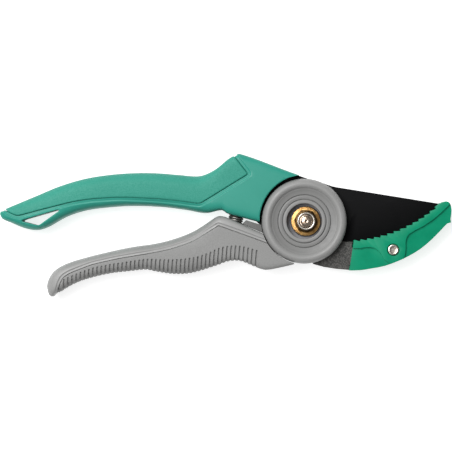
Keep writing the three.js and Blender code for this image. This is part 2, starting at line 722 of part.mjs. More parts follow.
function bumper() {
  return plate(polygon(BUMPER), MIDDLE - BUMPER_HALF, MIDDLE + BUMPER_HALF)
    .subtract(cylinder(RIM_RADIUS + GAP, BELOW, CHANNEL_FRONT, 0, 0, 56))
    .subtract(cylinder(COVER_RADIUS + GAP, BELOW, ABOVE, COVER_OFFSET, 0, 56));
}

// ---------- Hub ----------

// Dished cover: a rounded rim, a slope to a fine groove, and a flat lip round the bore.
function coverProfile(back, front) {
  const across = (share) => COVER_BORE + (COVER_RADIUS - COVER_BORE) * share;
  return [
    [COVER_BORE, back], [COVER_RADIUS, back], [COVER_RADIUS, front - 2.6],
    [COVER_RADIUS - 0.7, front - 0.9], [COVER_RADIUS - 1.7, front - 0.15],
    [COVER_RADIUS - 2.5, front], [across(0.66), front - 0.5], [across(0.61), front - 1.1],
    [across(0.38), front - 1.9], [across(0.355), front - 2.4], [across(0.32), front - 2.4],
    [across(0.295), front - 2.1], [across(0.195), front - 2.2], [across(0.16), front - 1.6],
    [COVER_BORE, front - 1.6],
  ];
}

function frontCover() {
  return turned(coverProfile(BLADE_FRONT + GAP, COVER_FRONT), 48).translate(COVER_OFFSET, 0, 0);
}

// The same dish on the back, flatter, so the shears lie on its rim and on the bolt's head.
function backCover() {
  const inset = (distance) => COVER_RADIUS - distance;
  const profile = [
    [COVER_BORE, 1.4], [inset(8.3), 1.5], [inset(4.8), 1.0], [inset(3.3), 0], [inset(1.9), 0],
    [inset(0.5), 0.8], [COVER_RADIUS, 2.2], [COVER_RADIUS, FRAME_BACK - GAP],
    [COVER_BORE, FRAME_BACK - GAP],
  ];
  return turned(profile, 48);
}

function pivotBolt() {
  const end = NUT_FRONT + GAP + INSERT_HEIGHT + BOLT_END_HEIGHT;
  return turned([
    [0, 0], [BOLT_HEAD_RADIUS - 0.8, 0], [BOLT_HEAD_RADIUS, 0.8], [BOLT_HEAD_RADIUS, BOLT_HEAD_HEIGHT],
    [BOLT_RADIUS, BOLT_HEAD_HEIGHT], [BOLT_RADIUS, end - 0.9], [BOLT_RADIUS - 0.3, end - 0.4],
    [BOLT_RADIUS - 1.2, end - 0.1], [0, end],
  ], 32);
}

function washer(inner, outer, back) {
  const front = back + WASHER_THICKNESS;
  return turned([[inner, back], [outer, back], [outer, front], [inner, front]], 32);
}

function boltWasher() {
  return washer(BOLT_RADIUS + GAP, WASHER_RADIUS, BOLT_HEAD_HEIGHT + GAP);
}

function glideWasher() {
  return washer(PIVOT_BORE, WASHER_RADIUS, BLADE_BACK - GAP - WASHER_THICKNESS);
}

function nutWasher() {
  return washer(BOLT_RADIUS + GAP, NUT_WASHER_RADIUS, BLADE_FRONT + GAP);
}

function bushing() {
  return turned([
    [BOLT_RADIUS + GAP, FRAME_BACK], [BUSHING_RADIUS, FRAME_BACK], [BUSHING_RADIUS, BLADE_FRONT],
    [BOLT_RADIUS + GAP, BLADE_FRONT],
  ], 24);
}

function flangeNut() {
  const flange = turned([
    [0, NUT_BACK], [NUT_FLANGE_RADIUS, NUT_BACK], [NUT_FLANGE_RADIUS, NUT_BACK + 0.7],
    [NUT_FLANGE_RADIUS - 0.5, NUT_BACK + 1.0], [0, NUT_BACK + NUT_FLANGE_THICKNESS],
  ], 36);
  const crown = turned([
    [0, NUT_BACK + 0.5], [6.2, NUT_BACK + 0.5], [6.2, NUT_FRONT - 0.9], [4.9, NUT_FRONT], [0, NUT_FRONT],
  ], 36);
  return plate(hexagon(NUT_ACROSS_FLATS, NUT_TURN), NUT_BACK + 0.5, NUT_FRONT)
    .intersect(crown)
    .add(flange)
    .subtract(cylinder(BOLT_RADIUS + GAP, BELOW, ABOVE, 0, 0, 32));
}

function lockingInsert() {
  const back = NUT_FRONT + GAP;
  return turned([
    [BOLT_RADIUS + GAP, back], [INSERT_RADIUS, back], [INSERT_RADIUS, back + INSERT_HEIGHT - 0.25],
    [INSERT_RADIUS - 0.25, back + INSERT_HEIGHT], [BOLT_RADIUS + GAP, back + INSERT_HEIGHT],
  ], 32);
}

// ---------- Assembly ----------

const shears = new THREE.Group();

function add(name, body, material) {
  const mesh = new THREE.Mesh(geometryOf(body), material);
  mesh.name = name;
  shears.add(mesh);
}

add('jaw_frame', jawFrame(), FINISHES.darkGrey());
add('anvil', anvil(), FINISHES.anvilGreen());
add('anvil_screw', anvilScrew(), FINISHES.brightSteel());
add('anvil_screw_nut', anvilNut(), FINISHES.brightSteel());
add('upper_handle', upperHandle(), FINISHES.hardGreen());
add('upper_grip', upperGrip(), FINISHES.softGreen());
add('hub_cover_back', backCover(), FINISHES.hardGrey());
add('pivot_bolt', pivotBolt(), FINISHES.brightSteel());
add('bolt_washer', boltWasher(), FINISHES.darkSteel());
add('pivot_bushing', bushing(), FINISHES.bronze());
add('glide_washer', glideWasher(), FINISHES.bronze());
add('nut_washer', nutWasher(), FINISHES.darkSteel());
add('flange_nut', flangeNut(), FINISHES.yellowZinc());
add('nut_locking_ring', lockingInsert(), FINISHES.brightSteel());
add('blade', blade(), FINISHES.blackCoat());
add('hub_cover_front', frontCover(), FINISHES.hardGrey());
add('lower_handle', lowerHandle(), FINISHES.hardGrey());
add('lower_grip', lowerGrip(), FINISHES.softGrey());
add('closing_bumper', bumper(), FINISHES.softGrey());
add('spring', spring(), FINISHES.darkSteel());
add('lock_slider', lockSlider(), FINISHES.darkGrey());

export default shears;
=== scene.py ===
"""Anvil pruning shears, lying flat: the looks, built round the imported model.

Lengths in the tables below are millimetres in the model's frame: the pivot axis is Z, the blade tip
points along +X and the front looks along +Z. MM turns them into metres.
"""

import math

import bpy
import numpy as np
from mathutils import Matrix, Vector


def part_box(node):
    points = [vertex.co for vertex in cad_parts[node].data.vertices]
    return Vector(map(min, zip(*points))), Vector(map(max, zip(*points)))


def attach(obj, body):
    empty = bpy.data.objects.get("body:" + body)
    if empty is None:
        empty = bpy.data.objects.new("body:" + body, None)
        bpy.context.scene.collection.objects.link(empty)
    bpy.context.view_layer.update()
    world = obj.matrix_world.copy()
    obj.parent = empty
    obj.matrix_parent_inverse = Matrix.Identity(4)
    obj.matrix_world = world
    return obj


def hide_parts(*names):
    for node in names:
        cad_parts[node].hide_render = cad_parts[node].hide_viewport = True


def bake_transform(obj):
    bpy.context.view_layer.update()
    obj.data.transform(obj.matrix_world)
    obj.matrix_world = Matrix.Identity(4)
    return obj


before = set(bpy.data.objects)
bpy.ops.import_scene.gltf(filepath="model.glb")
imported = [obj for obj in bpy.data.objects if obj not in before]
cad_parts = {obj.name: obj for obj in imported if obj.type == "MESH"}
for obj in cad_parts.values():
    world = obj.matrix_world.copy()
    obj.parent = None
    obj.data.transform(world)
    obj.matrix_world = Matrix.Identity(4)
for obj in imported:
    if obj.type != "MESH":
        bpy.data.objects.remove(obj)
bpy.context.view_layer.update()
MM = 0.001

# ---------- Heights and places that the model gives ----------


def low(node, axis):
    """The least coordinate of a node along an axis, in millimetres."""
    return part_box(node)[0][axis] / MM


def high(node, axis):
    """The greatest coordinate of a node along an axis, in millimetres."""
    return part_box(node)[1][axis] / MM


GAP = 0.3  # clearance between neighbouring pieces
BACK, FRONT = -5, 30  # a cutter between these heights goes right through the shears
OVERLAP = 0.05  # how far cutters that meet reach into each other
BLADE_BACK = low("blade", 2)
BLADE_FRONT = high("blade", 2)
MIDDLE = (BLADE_BACK + BLADE_FRONT) / 2
BODY_FRONT = high("upper_handle", 2)
COVER_FRONT = high("hub_cover_front", 2)
COVER_RADIUS = (high("hub_cover_front", 0) - low("hub_cover_front", 0)) / 2
COVER_OFFSET = (high("hub_cover_front", 0) + low("hub_cover_front", 0)) / 2
COVER_BORE = 8.5
BOLT_RADIUS = 3.0
BODY_ARC = 22.25  # radius of the upper handle's hollow end round the hub
RIM_RADIUS = 24.8  # radius of the blade's larger rim, which carries the lock notches

# ---------- Outlines ----------

# TOP and BOTTOM are a handle's edges, seen from the front, and HALF is half its thickness along X.
# A PAD_LINE is where the soft pad ends; its SHARP points stay crisp.

UPPER_TOP = [
    (-146.7, 4.9), (-141, 7.3), (-129.5, 12.1), (-117.9, 16.9), (-106.4, 20.3), (-94.9, 22.2),
    (-83.4, 23.1), (-71.9, 23.1), (-60.3, 22.2), (-53, 21.6), (-48.8, 22.2), (-43, 25.1),
    (-37.3, 29.7), (-34.4, 31.4), (-31.5, 32.3), (-7.5, 23.6), (0, 20.9),
]
UPPER_BOTTOM = [
    (-146.7, 2.3), (-145.4, 0.9), (-141, -0.9), (-135.2, -3.3), (-129, -4.3), (-123.7, -2.8),
    (-115, 2.0), (-106.4, 4.9), (-97.8, 6.3), (-83.4, 7.3), (-69, 6.8), (-57.5, 5.4), (-47.9, 3.9),
    (-40.2, 5.3), (-37.6, 3.7), (-30, 1.6), (-22.4, -0.4), (0, -6),
]
UPPER_HALF = [
    (-146.7, 4.5), (-143, 6.3), (-135, 7.4), (-115, 8.1), (-80, 8.4), (-50, 8.5), (-40, 8.9), (0, 8.9),
]
UPPER_PAD_LINE = [
    (-150, 8.8), (-144.2, 5.8), (-141, 3.8), (-137.9, 2.6), (-125.8, 5.8), (-111.5, 9.4),
    (-102.7, 10.7), (-89.1, 11.5), (-71.2, 10.7), (-60.1, 9.6), (-54.6, 8.8), (-50.8, 8.4),
    (-27.9, 22.5), (-41, 39.5),
]
UPPER_SHARP = [(-50.8, 8.4), (-27.9, 22.5)]
HANGING_EYE = [
    (-136.1, 0.0), (-135.0, 0.7), (-118.6, 5.5), (-118.0, 5.0), (-127.4, -1.7), (-128.6, -2.0),
]
LOWER_TOP = [
    (-124.2, -30.0), (-123.6, -28.0), (-120.8, -23.9), (-115.1, -20.5), (-106.4, -17.7),
    (-94.9, -14.8), (-83.4, -12.4), (-71.9, -10.7), (-63.2, -8.5), (-54.6, -5.2), (-48.8, -1.8),
    (-43, 2.0), (-41, 2.5), (-37.3, 1.6), (-20.7, -5.8), (-4, -13),
]
LOWER_BOTTOM = [
    (-124.2, -32.5), (-123.4, -35.2), (-121.6, -36.3), (-117.9, -34), (-112.2, -30.6),
    (-106.4, -28.2), (-94.9, -25.3), (-83.4, -23.9), (-76.5, -23.3), (-71.9, -24.2),
    (-63.2, -25.4), (-54.6, -24.9), (-43, -21.4), (-37.3, -19.3), (-31.5, -19.1),
    (-22.9, -22.4), (-19, -23.3), (-11.4, -22), (-4, -20.2),
]
LOWER_HALF = [
    (-124.2, 4.0), (-121, 6.6), (-114, 7.8), (-95, 8.3), (-60, 8.5), (-43, 8.9), (-4, 8.9),
]
LOWER_PAD_LINE = [
    (-122.2, -44), (-120.2, -36), (-119.4, -32), (-118.7, -29.5), (-117, -26.2), (-113.7, -24),
    (-102.7, -19.6), (-89.1, -16.6), (-76.7, -14.6), (-65.7, -12.4), (-55.8, -9.1), (-49.2, -5.3),
    (-42, -0.9), (-32.6, -4.2), (-22.1, -8), (0, -16.5),
]
LOWER_SHARP = [(-42, -0.9)]
RIB_TOP_LINE = [  # where the grooves between the grip's ribs end
    (-121, -32.5), (-116.7, -28.4), (-113.7, -26.7), (-102.7, -22.4), (-93.3, -20.4), (-87.7, -19.6),
    (-76.7, -18), (-67.9, -18.2), (-60.1, -18), (-51.9, -16.8), (-46.4, -14.9), (-40.8, -12.4),
    (-32.6, -11.6), (-24.3, -13.5), (-22, -14.5),
]

# ---------- Lines ----------


def height_at(points, x):
    """Height of the smooth line through points with rising x, by the model's own rule."""
    i = 0
    while i < len(points) - 2 and x > points[i + 1][0]:
        i += 1
    (x0, y0), (x1, y1) = points[i], points[i + 1]
    before = points[max(0, i - 1)]
    after = points[min(len(points) - 1, i + 2)]
    m0 = (y1 - before[1]) / (x1 - before[0])
    m1 = (after[1] - y0) / (after[0] - x0)
    span = x1 - x0
    t = min(1.0, max(0.0, (x - x0) / span))
    start = 2 * t ** 3 - 3 * t ** 2 + 1
    lean_in = t ** 3 - 2 * t ** 2 + t
    end = -2 * t ** 3 + 3 * t ** 2
    lean_out = t ** 3 - t ** 2
    return start * y0 + lean_in * span * m0 + end * y1 + lean_out * span * m1


def heights(points, xs):
    """The same line's height at many places."""
    fine = np.linspace(points[0][0], points[-1][0], 1200)
    return np.interp(xs, fine, [height_at(points, x) for x in fine])


SHARP_RADIUS = 1.0


def rounded(points, radius, steps=4, closed=True, sharp=()):
    """The outline with each corner turned through a short arc; the sharp ones through a smaller one."""
    out = []
    count = len(points)
    for i, corner in enumerate(points):
        if not closed and i in (0, count - 1):
            out.append(corner)
            continue
        here = Vector(corner)
        before = Vector(points[i - 1]) - here
        after = Vector(points[(i + 1) % count]) - here
        wanted = SHARP_RADIUS if corner in sharp else radius
        reach = min(wanted, before.length * 0.45, after.length * 0.45)
        a = here + before.normalized() * reach
        b = here + after.normalized() * reach
        for k in range(steps + 1):
            t = k / steps
            p = a * (1 - t) ** 2 + here * 2 * t * (1 - t) + b * t ** 2
            out.append((p.x, p.y))
    return out


def moved_aside(points, distance):
    """The line moved to its left."""
    out = []
    for i, (x, y) in enumerate(points):
        before = points[max(0, i - 1)]
        after = points[min(len(points) - 1, i + 1)]
        dx, dy = after[0] - before[0], after[1] - before[1]
        length = math.hypot(dx, dy)
        out.append((x - dy / length * distance, y + dx / length * distance))
    return out


def distance_to(line, xy):
    """Distance of many points from a line of points, in the plane of the shears."""
    best = np.full(len(xy), 1e9)
    for (ax, ay), (bx, by) in zip(line, line[1:]):
        dx, dy = bx - ax, by - ay
        t = ((xy[:, 0] - ax) * dx + (xy[:, 1] - ay) * dy) / max(dx * dx + dy * dy, 1e-9)
        t = np.clip(t, 0, 1)
        best = np.minimum(best, np.hypot(xy[:, 0] - ax - t * dx, xy[:, 1] - ay - t * dy))
    return best


def inside(outline, xy):
    """Which of many points lie inside a closed outline."""
    found = np.zeros(len(xy), bool)
    for (ax, ay), (bx, by) in zip(outline, [*outline[1:], outline[0]]):
        if ay == by:
            continue
        crosses = (ay > xy[:, 1]) != (by > xy[:, 1])
        found ^= crosses & (xy[:, 0] < ax + (xy[:, 1] - ay) * (bx - ax) / (by - ay))
    return found


# ---------- Making and cutting pieces ----------

SOLVER = "MANIFOLD"


def take(*objects):
    """Selects these objects alone; the first is the active one."""
    bpy.ops.object.select_all(action="DESELECT")
    for obj in objects:
        obj.select_set(True)
    bpy.context.view_layer.objects.active = objects[0]


def edit(obj):
    """Edit mode with everything selected, by edges."""
    take(obj)
    bpy.context.tool_settings.mesh_select_mode = (False, True, False)
    bpy.ops.object.mode_set(mode="EDIT")
    bpy.ops.mesh.select_all(action="SELECT")


def leave_edit():
    bpy.ops.object.mode_set(mode="OBJECT")


def choose_faces(obj, wanted):
    """Goes into edit mode with just these faces selected."""
    take(obj)
    bpy.context.tool_settings.mesh_select_mode = (False, False, True)
    mesh = obj.data
    mesh.vertices.foreach_set("select", np.zeros(len(mesh.vertices), bool))
    mesh.edges.foreach_set("select", np.zeros(len(mesh.edges), bool))
    mesh.polygons.foreach_set("select", wanted)
    bpy.ops.object.mode_set(mode="EDIT")


def mend(obj, distance=0.01):
    """Merges doubles and turns every face outwards."""
    edit(obj)
    bpy.ops.mesh.remove_doubles(threshold=distance * MM)
    bpy.ops.mesh.dissolve_degenerate(threshold=0.001 * MM)
    bpy.ops.mesh.select_all(action="SELECT")
    bpy.ops.mesh.delete_loose(use_faces=False)
    bpy.ops.mesh.select_all(action="SELECT")
    bpy.ops.mesh.normals_make_consistent(inside=False)
    leave_edit()
    return obj


def mesh_points(obj):
    """The places of a mesh's vertices, in millimetres, one row each."""
    co = np.empty(len(obj.data.vertices) * 3)
    obj.data.vertices.foreach_get("co", co)
    return co.reshape(-1, 3) / MM


def put_points(obj, points):
    obj.data.vertices.foreach_set("co", (points * MM).ravel())
    obj.data.update()


def outline_face(points, z):
    """A flat face with this outline, in edit mode, all selected."""
    bpy.ops.object.select_all(action="DESELECT")
    bpy.ops.mesh.primitive_circle_add(vertices=len(points), fill_type="NGON", radius=0.01)
    obj = bpy.context.object
    for vertex, (x, y) in zip(obj.data.vertices, points):
        vertex.co = (x * MM, y * MM, z * MM)
    edit(obj)
    return obj


def plate(points, back, front):
    """A flat plate with this outline."""
    obj = outline_face(points, back)
    bpy.ops.mesh.extrude_region_move(TRANSFORM_OT_translate={"value": (0, 0, (front - back) * MM)})
    leave_edit()
    return mend(obj)


def turned(profile, steps=128, centre=(0, 0), ring=True):
    """A piece turned about Z from points of (radius, height): a closed ring, or open from axis to axis."""
    bpy.ops.object.select_all(action="DESELECT")
    bpy.ops.mesh.primitive_circle_add(vertices=len(profile), fill_type="NOTHING", radius=0.01)
    obj = bpy.context.object
    for vertex, (radius, z) in zip(obj.data.vertices, profile):
        vertex.co = ((centre[0] + radius) * MM, centre[1] * MM, z * MM)
    if not ring:
        open_loop(obj)
    edit(obj)
    middle = (centre[0] * MM, centre[1] * MM, 0)
    bpy.ops.mesh.spin(steps=steps, angle=2 * math.pi, center=middle, axis=(0, 0, 1))
    leave_edit()
    return mend(obj, 0.002)


def open_loop(obj):
    """Takes away the edge that joins a loop's last point to its first."""
    last = len(obj.data.vertices) - 1
    take(obj)
    bpy.context.tool_settings.mesh_select_mode = (False, True, False)
    for edge in obj.data.edges:
        edge.select = set(edge.vertices) == {0, last}
    obj.data.vertices.foreach_set("select", np.zeros(last + 1, bool))
    bpy.ops.object.mode_set(mode="EDIT")
    bpy.ops.mesh.delete(type="EDGE")
    leave_edit()


def cylinder(radius, back, front, centre=(0, 0), steps=96):
    bpy.ops.object.select_all(action="DESELECT")
    bpy.ops.mesh.primitive_cylinder_add(
        vertices=steps, radius=radius * MM, depth=(front - back) * MM,
        location=(centre[0] * MM, centre[1] * MM, (front + back) / 2 * MM),
    )
    return settle(bpy.context.object)


def settle(obj):
    """Puts the object's place, turn and scale into its mesh."""
    take(obj)
    bpy.ops.object.transform_apply(location=True, rotation=True, scale=True)
    return obj


def apply(obj, modifier):
    take(obj)
    bpy.ops.object.modifier_apply(modifier=modifier.name)
    return obj


def combine(obj, tool, operation):
    """Boolean with a tool that is used up."""
    modifier = obj.modifiers.new(operation, "BOOLEAN")
    modifier.operation = operation
    modifier.solver = SOLVER
    modifier.object = tool
    apply(obj, modifier)
    bpy.data.objects.remove(tool, do_unlink=True)
    return obj


def cut(obj, *tools):
    for tool in tools:
        combine(obj, tool, "DIFFERENCE")
    return obj


def join_solid(obj, *tools):
    for tool in tools:
        combine(obj, tool, "UNION")
    return obj


def ease_edges(obj, width, segments=3, angle=30):
    """Rounds the sharp edges, as moulding, casting or tumbling does."""
    modifier = obj.modifiers.new("eased", "BEVEL")
    modifier.width = width * MM
    modifier.segments = segments
    modifier.limit_method = "ANGLE"
    modifier.angle_limit = math.radians(angle)
    modifier.harden_normals = False
    modifier.use_clamp_overlap = True
    return apply(obj, modifier)


def shade(obj, angle=35):
    take(obj)
    bpy.ops.object.shade_smooth_by_angle(angle=math.radians(angle))
    return obj


def copy_of(node):
    """A merged copy of a model node's mesh, with its flat faces whole again."""
    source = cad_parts[node]
    mesh = source.data.copy()
    mesh.materials.clear()
    obj = bpy.data.objects.new(node + "_piece", mesh)
    bpy.context.collection.objects.link(obj)
    if mesh.has_custom_normals:
        take(obj)
        bpy.ops.mesh.customdata_custom_splitnormals_clear()
    mend(obj, 0.004)
    edit(obj)
    bpy.ops.mesh.dissolve_limited(angle_limit=math.radians(0.6))
    leave_edit()
    return obj


def duplicate(obj):
    """A second object with a mesh of its own."""
    mesh = obj.data.copy()
    twin = bpy.data.objects.new(obj.name + "_twin", mesh)
    bpy.context.collection.objects.link(twin)
    return twin


def finish_piece(obj, name, body, material, slot, *nodes):
    """Names a piece, gives it its material, puts it on its body and hides the nodes that it stands for. The
    slot is not used.
    """
    obj.name = name
    obj.data.name = name
    obj.data.materials.clear()
    obj.data.materials.append(material)
    if body:
        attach(obj, body)
    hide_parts(*nodes)
    return obj


# ---------- Handle bars ----------

RING = 112  # points round a section
GRIP_SQUARENESS = 3.0
BODY_SQUARENESS = 8.0
NECK_X = -43
NECK_LENGTH = 18
END_ROUND = 1.2


def squareness(xs):
    """Power of the section's curve: round in the hand, boxy round the hub."""
    t = np.clip((xs - NECK_X + NECK_LENGTH / 2) / NECK_LENGTH, 0, 1)
    return GRIP_SQUARENESS + (BODY_SQUARENESS - GRIP_SQUARENESS) * t * t * (3 - 2 * t)


def section(power):
    """Points spaced evenly round a rounded square of half size 1."""
    angles = np.linspace(0, 2 * np.pi, 1201)
    c, s = np.cos(angles), np.sin(angles)
    fine = np.stack([np.sign(v) * np.abs(v) ** (2 / power) for v in (c, s)], axis=1)
    length = np.concatenate([[0], np.cumsum(np.hypot(*np.diff(fine, axis=0).T))])
    wanted = np.linspace(0, length[-1], RING, endpoint=False)
    return np.stack([np.interp(wanted, length, fine[:, k]) for k in (0, 1)], axis=1)


class Bar:
    """The body a handle starts from: a rounded box along X between two edge lines."""

    def __init__(self, top, bottom, half, ends):
        self.top, self.bottom, self.half, self.ends = top, bottom, half, ends

    def sizes(self, xs, inset=0.0):
        """Middle height, half height and half thickness at each x, drawn in at the rounded far end."""
        tops, bottoms = heights(self.top, xs), heights(self.bottom, xs)
        from_end = np.clip(xs - self.ends[0] - inset, 0, END_ROUND)
        drawn = END_ROUND - np.sqrt(END_ROUND ** 2 - (END_ROUND - from_end) ** 2)
        tall = np.maximum((tops - bottoms) / 2 - inset, (tops - bottoms) / 8)
        deep = heights(self.half, xs) - inset
        return (tops + bottoms) / 2, np.maximum(tall - drawn, 0.1), deep - drawn

    def mesh(self, step, inset=0.0):
        """A grid rolled into the bar's shape, with its two ends closed."""
        first, last = self.ends[0] + inset, self.ends[1] - inset
        close = first + END_ROUND * (1 - np.cos(np.radians([0, 18, 36, 54, 72])))
        count = max(4, round((last - first - END_ROUND) / step))
        xs = np.concatenate([close, np.linspace(first + END_ROUND, last, count + 1)])
        bpy.ops.object.select_all(action="DESELECT")
        bpy.ops.mesh.primitive_grid_add(x_subdivisions=len(xs) - 1, y_subdivisions=RING, size=2)
        obj = bpy.context.object
        middle, tall, deep = self.sizes(xs, inset)
        sections = np.array([section(power) for power in squareness(xs)])
        co = np.empty((RING + 1, len(xs), 3))
        for k in range(RING + 1):
            around = sections[:, k % RING]
            co[k] = np.stack([xs, middle + tall * around[:, 0], MIDDLE + deep * around[:, 1]], axis=1)
        obj.data.vertices.foreach_set("co", (co * MM).ravel())
        obj.data.update()
        edit(obj)
        bpy.ops.mesh.remove_doubles(threshold=0.001 * MM)
        bpy.ops.mesh.select_all(action="DESELECT")
        bpy.ops.mesh.select_non_manifold()
        bpy.ops.mesh.fill_holes(sides=0)
        bpy.ops.mesh.select_all(action="SELECT")
        bpy.ops.mesh.normals_make_consistent(inside=False)
        leave_edit()
        return obj

    def refine(self, obj, distance, reach, cuts):
        """Divides the faces near a line more finely, and sets all points on the true surface.

        It comes before any press, because it would undo one.
        """
        centres = np.empty(len(obj.data.polygons) * 3)
        obj.data.polygons.foreach_get("center", centres)
        near = distance(centres.reshape(-1, 3)[:, :2] / MM)
        choose_faces(obj, (near > reach[0]) & (near < reach[1]))
        bpy.ops.mesh.subdivide(number_cuts=cuts)
        leave_edit()
        points = mesh_points(obj)
        middle, tall, deep = self.sizes(points[:, 0])
        power = squareness(points[:, 0])
        c = (points[:, 1] - middle) / tall
        s = (points[:, 2] - MIDDLE) / deep
        size = (np.abs(c) ** power + np.abs(s) ** power) ** (1 / power)
        size[points[:, 0] < self.ends[0] + 0.01] = 1
        size[points[:, 0] > self.ends[1] - 0.01] = 1
        points[:, 1] = middle + tall * c / size
        points[:, 2] = MIDDLE + deep * s / size
        put_points(obj, points)


UPPER = Bar(UPPER_TOP, UPPER_BOTTOM, UPPER_HALF, (-146.7, -0.5))
LOWER = Bar(LOWER_TOP, LOWER_BOTTOM, LOWER_HALF, (-124.2, -5.8))


def press(obj, depths):
    """Moves every point inwards by its own depth, along its normal."""
    normals = np.empty(len(obj.data.vertices) * 3)
    obj.data.vertices.foreach_get("normal", normals)
    put_points(obj, mesh_points(obj) - normals.reshape(-1, 3) * depths[:, None])


def eased_depth(distance, radius, drop):
    """How far a rounded shoulder lies below the surface at this distance from its edge."""
    t = np.clip(1 - distance / radius, 0, 1)
    return drop * (1 - np.sqrt(np.clip(1 - t * t, 0, 1)))


# ---------- Soft pads set into the hard handles ----------

PAD_DEPTH = 1.2  # thickness of a soft pad
LEDGE_DROP = 0.42  # the hard ledge round a pad lies this far below both surfaces
SEAM = 0.22  # width of the fine gap at the pad's foot
CREST_START = 0.6  # the hard handle starts to round over this far outside the ledge
CREST_WIDTH = 0.65
WALL_START = 0.14  # the wall down to the bed starts this far outside the seam
WALL_WIDTH = 0.24
BED_GAP = 0.05  # the bed lies this far under the pad
PAD_SHOULDER = 0.6


def smooth_step(t):
    t = np.clip(t, 0, 1)
    return t * t * (3 - 2 * t)


class PadEdge:
    """The line a soft pad ends at, and the ledge of hard plastic along it."""

    def __init__(self, line, smooth, sharp, closing, ledge, shift=0.0):
        self.line = moved_aside(rounded(line, smooth, 5, False, sharp), shift)
        self.outline = [*self.line, *closing]
        self.ledge = ledge

    def into(self, xy):
        """Distance inside the pad; negative outside it."""
        away = distance_to(self.line, xy)
        return np.where(inside(self.outline, xy), away, -away)

    def hard_depth(self, xy):
        """How deep the hard handle's surface is pressed in: rounded crest, ledge, then the pad's bed."""
        s = self.into(xy)
        crest = smooth_step((s + self.ledge + CREST_START) / CREST_WIDTH)
        bed = smooth_step((s + SEAM + WALL_START) / WALL_WIDTH)
        return LEDGE_DROP * crest + (PAD_DEPTH + BED_GAP - LEDGE_DROP) * bed

    def soft_depth(self, xy):
        """The pad's own rounded shoulder."""
        return eased_depth(self.into(xy), PAD_SHOULDER, LEDGE_DROP)

    def prism(self):
        return plate(self.outline, BACK, FRONT)


UPPER_PAD = PadEdge(UPPER_PAD_LINE, 4.0, UPPER_SHARP, [(-160, 45), (-160, 8.8)], 1.35)
LOWER_PAD = PadEdge(LOWER_PAD_LINE, 3.5, LOWER_SHARP, [(2, -50), (-122.2, -50)], 1.25, -1.25)


def soft_pad(bar, edge, body, *cuts):
    """The pad is the skin of the handle's body inside its edge line."""
    combine(body, edge.prism(), "INTERSECT")
    cut(body, bar.mesh(2.0, PAD_DEPTH), *cuts)
    mend(body, 0.005)
    return shade(body, 50)


# ---------- Materials ----------


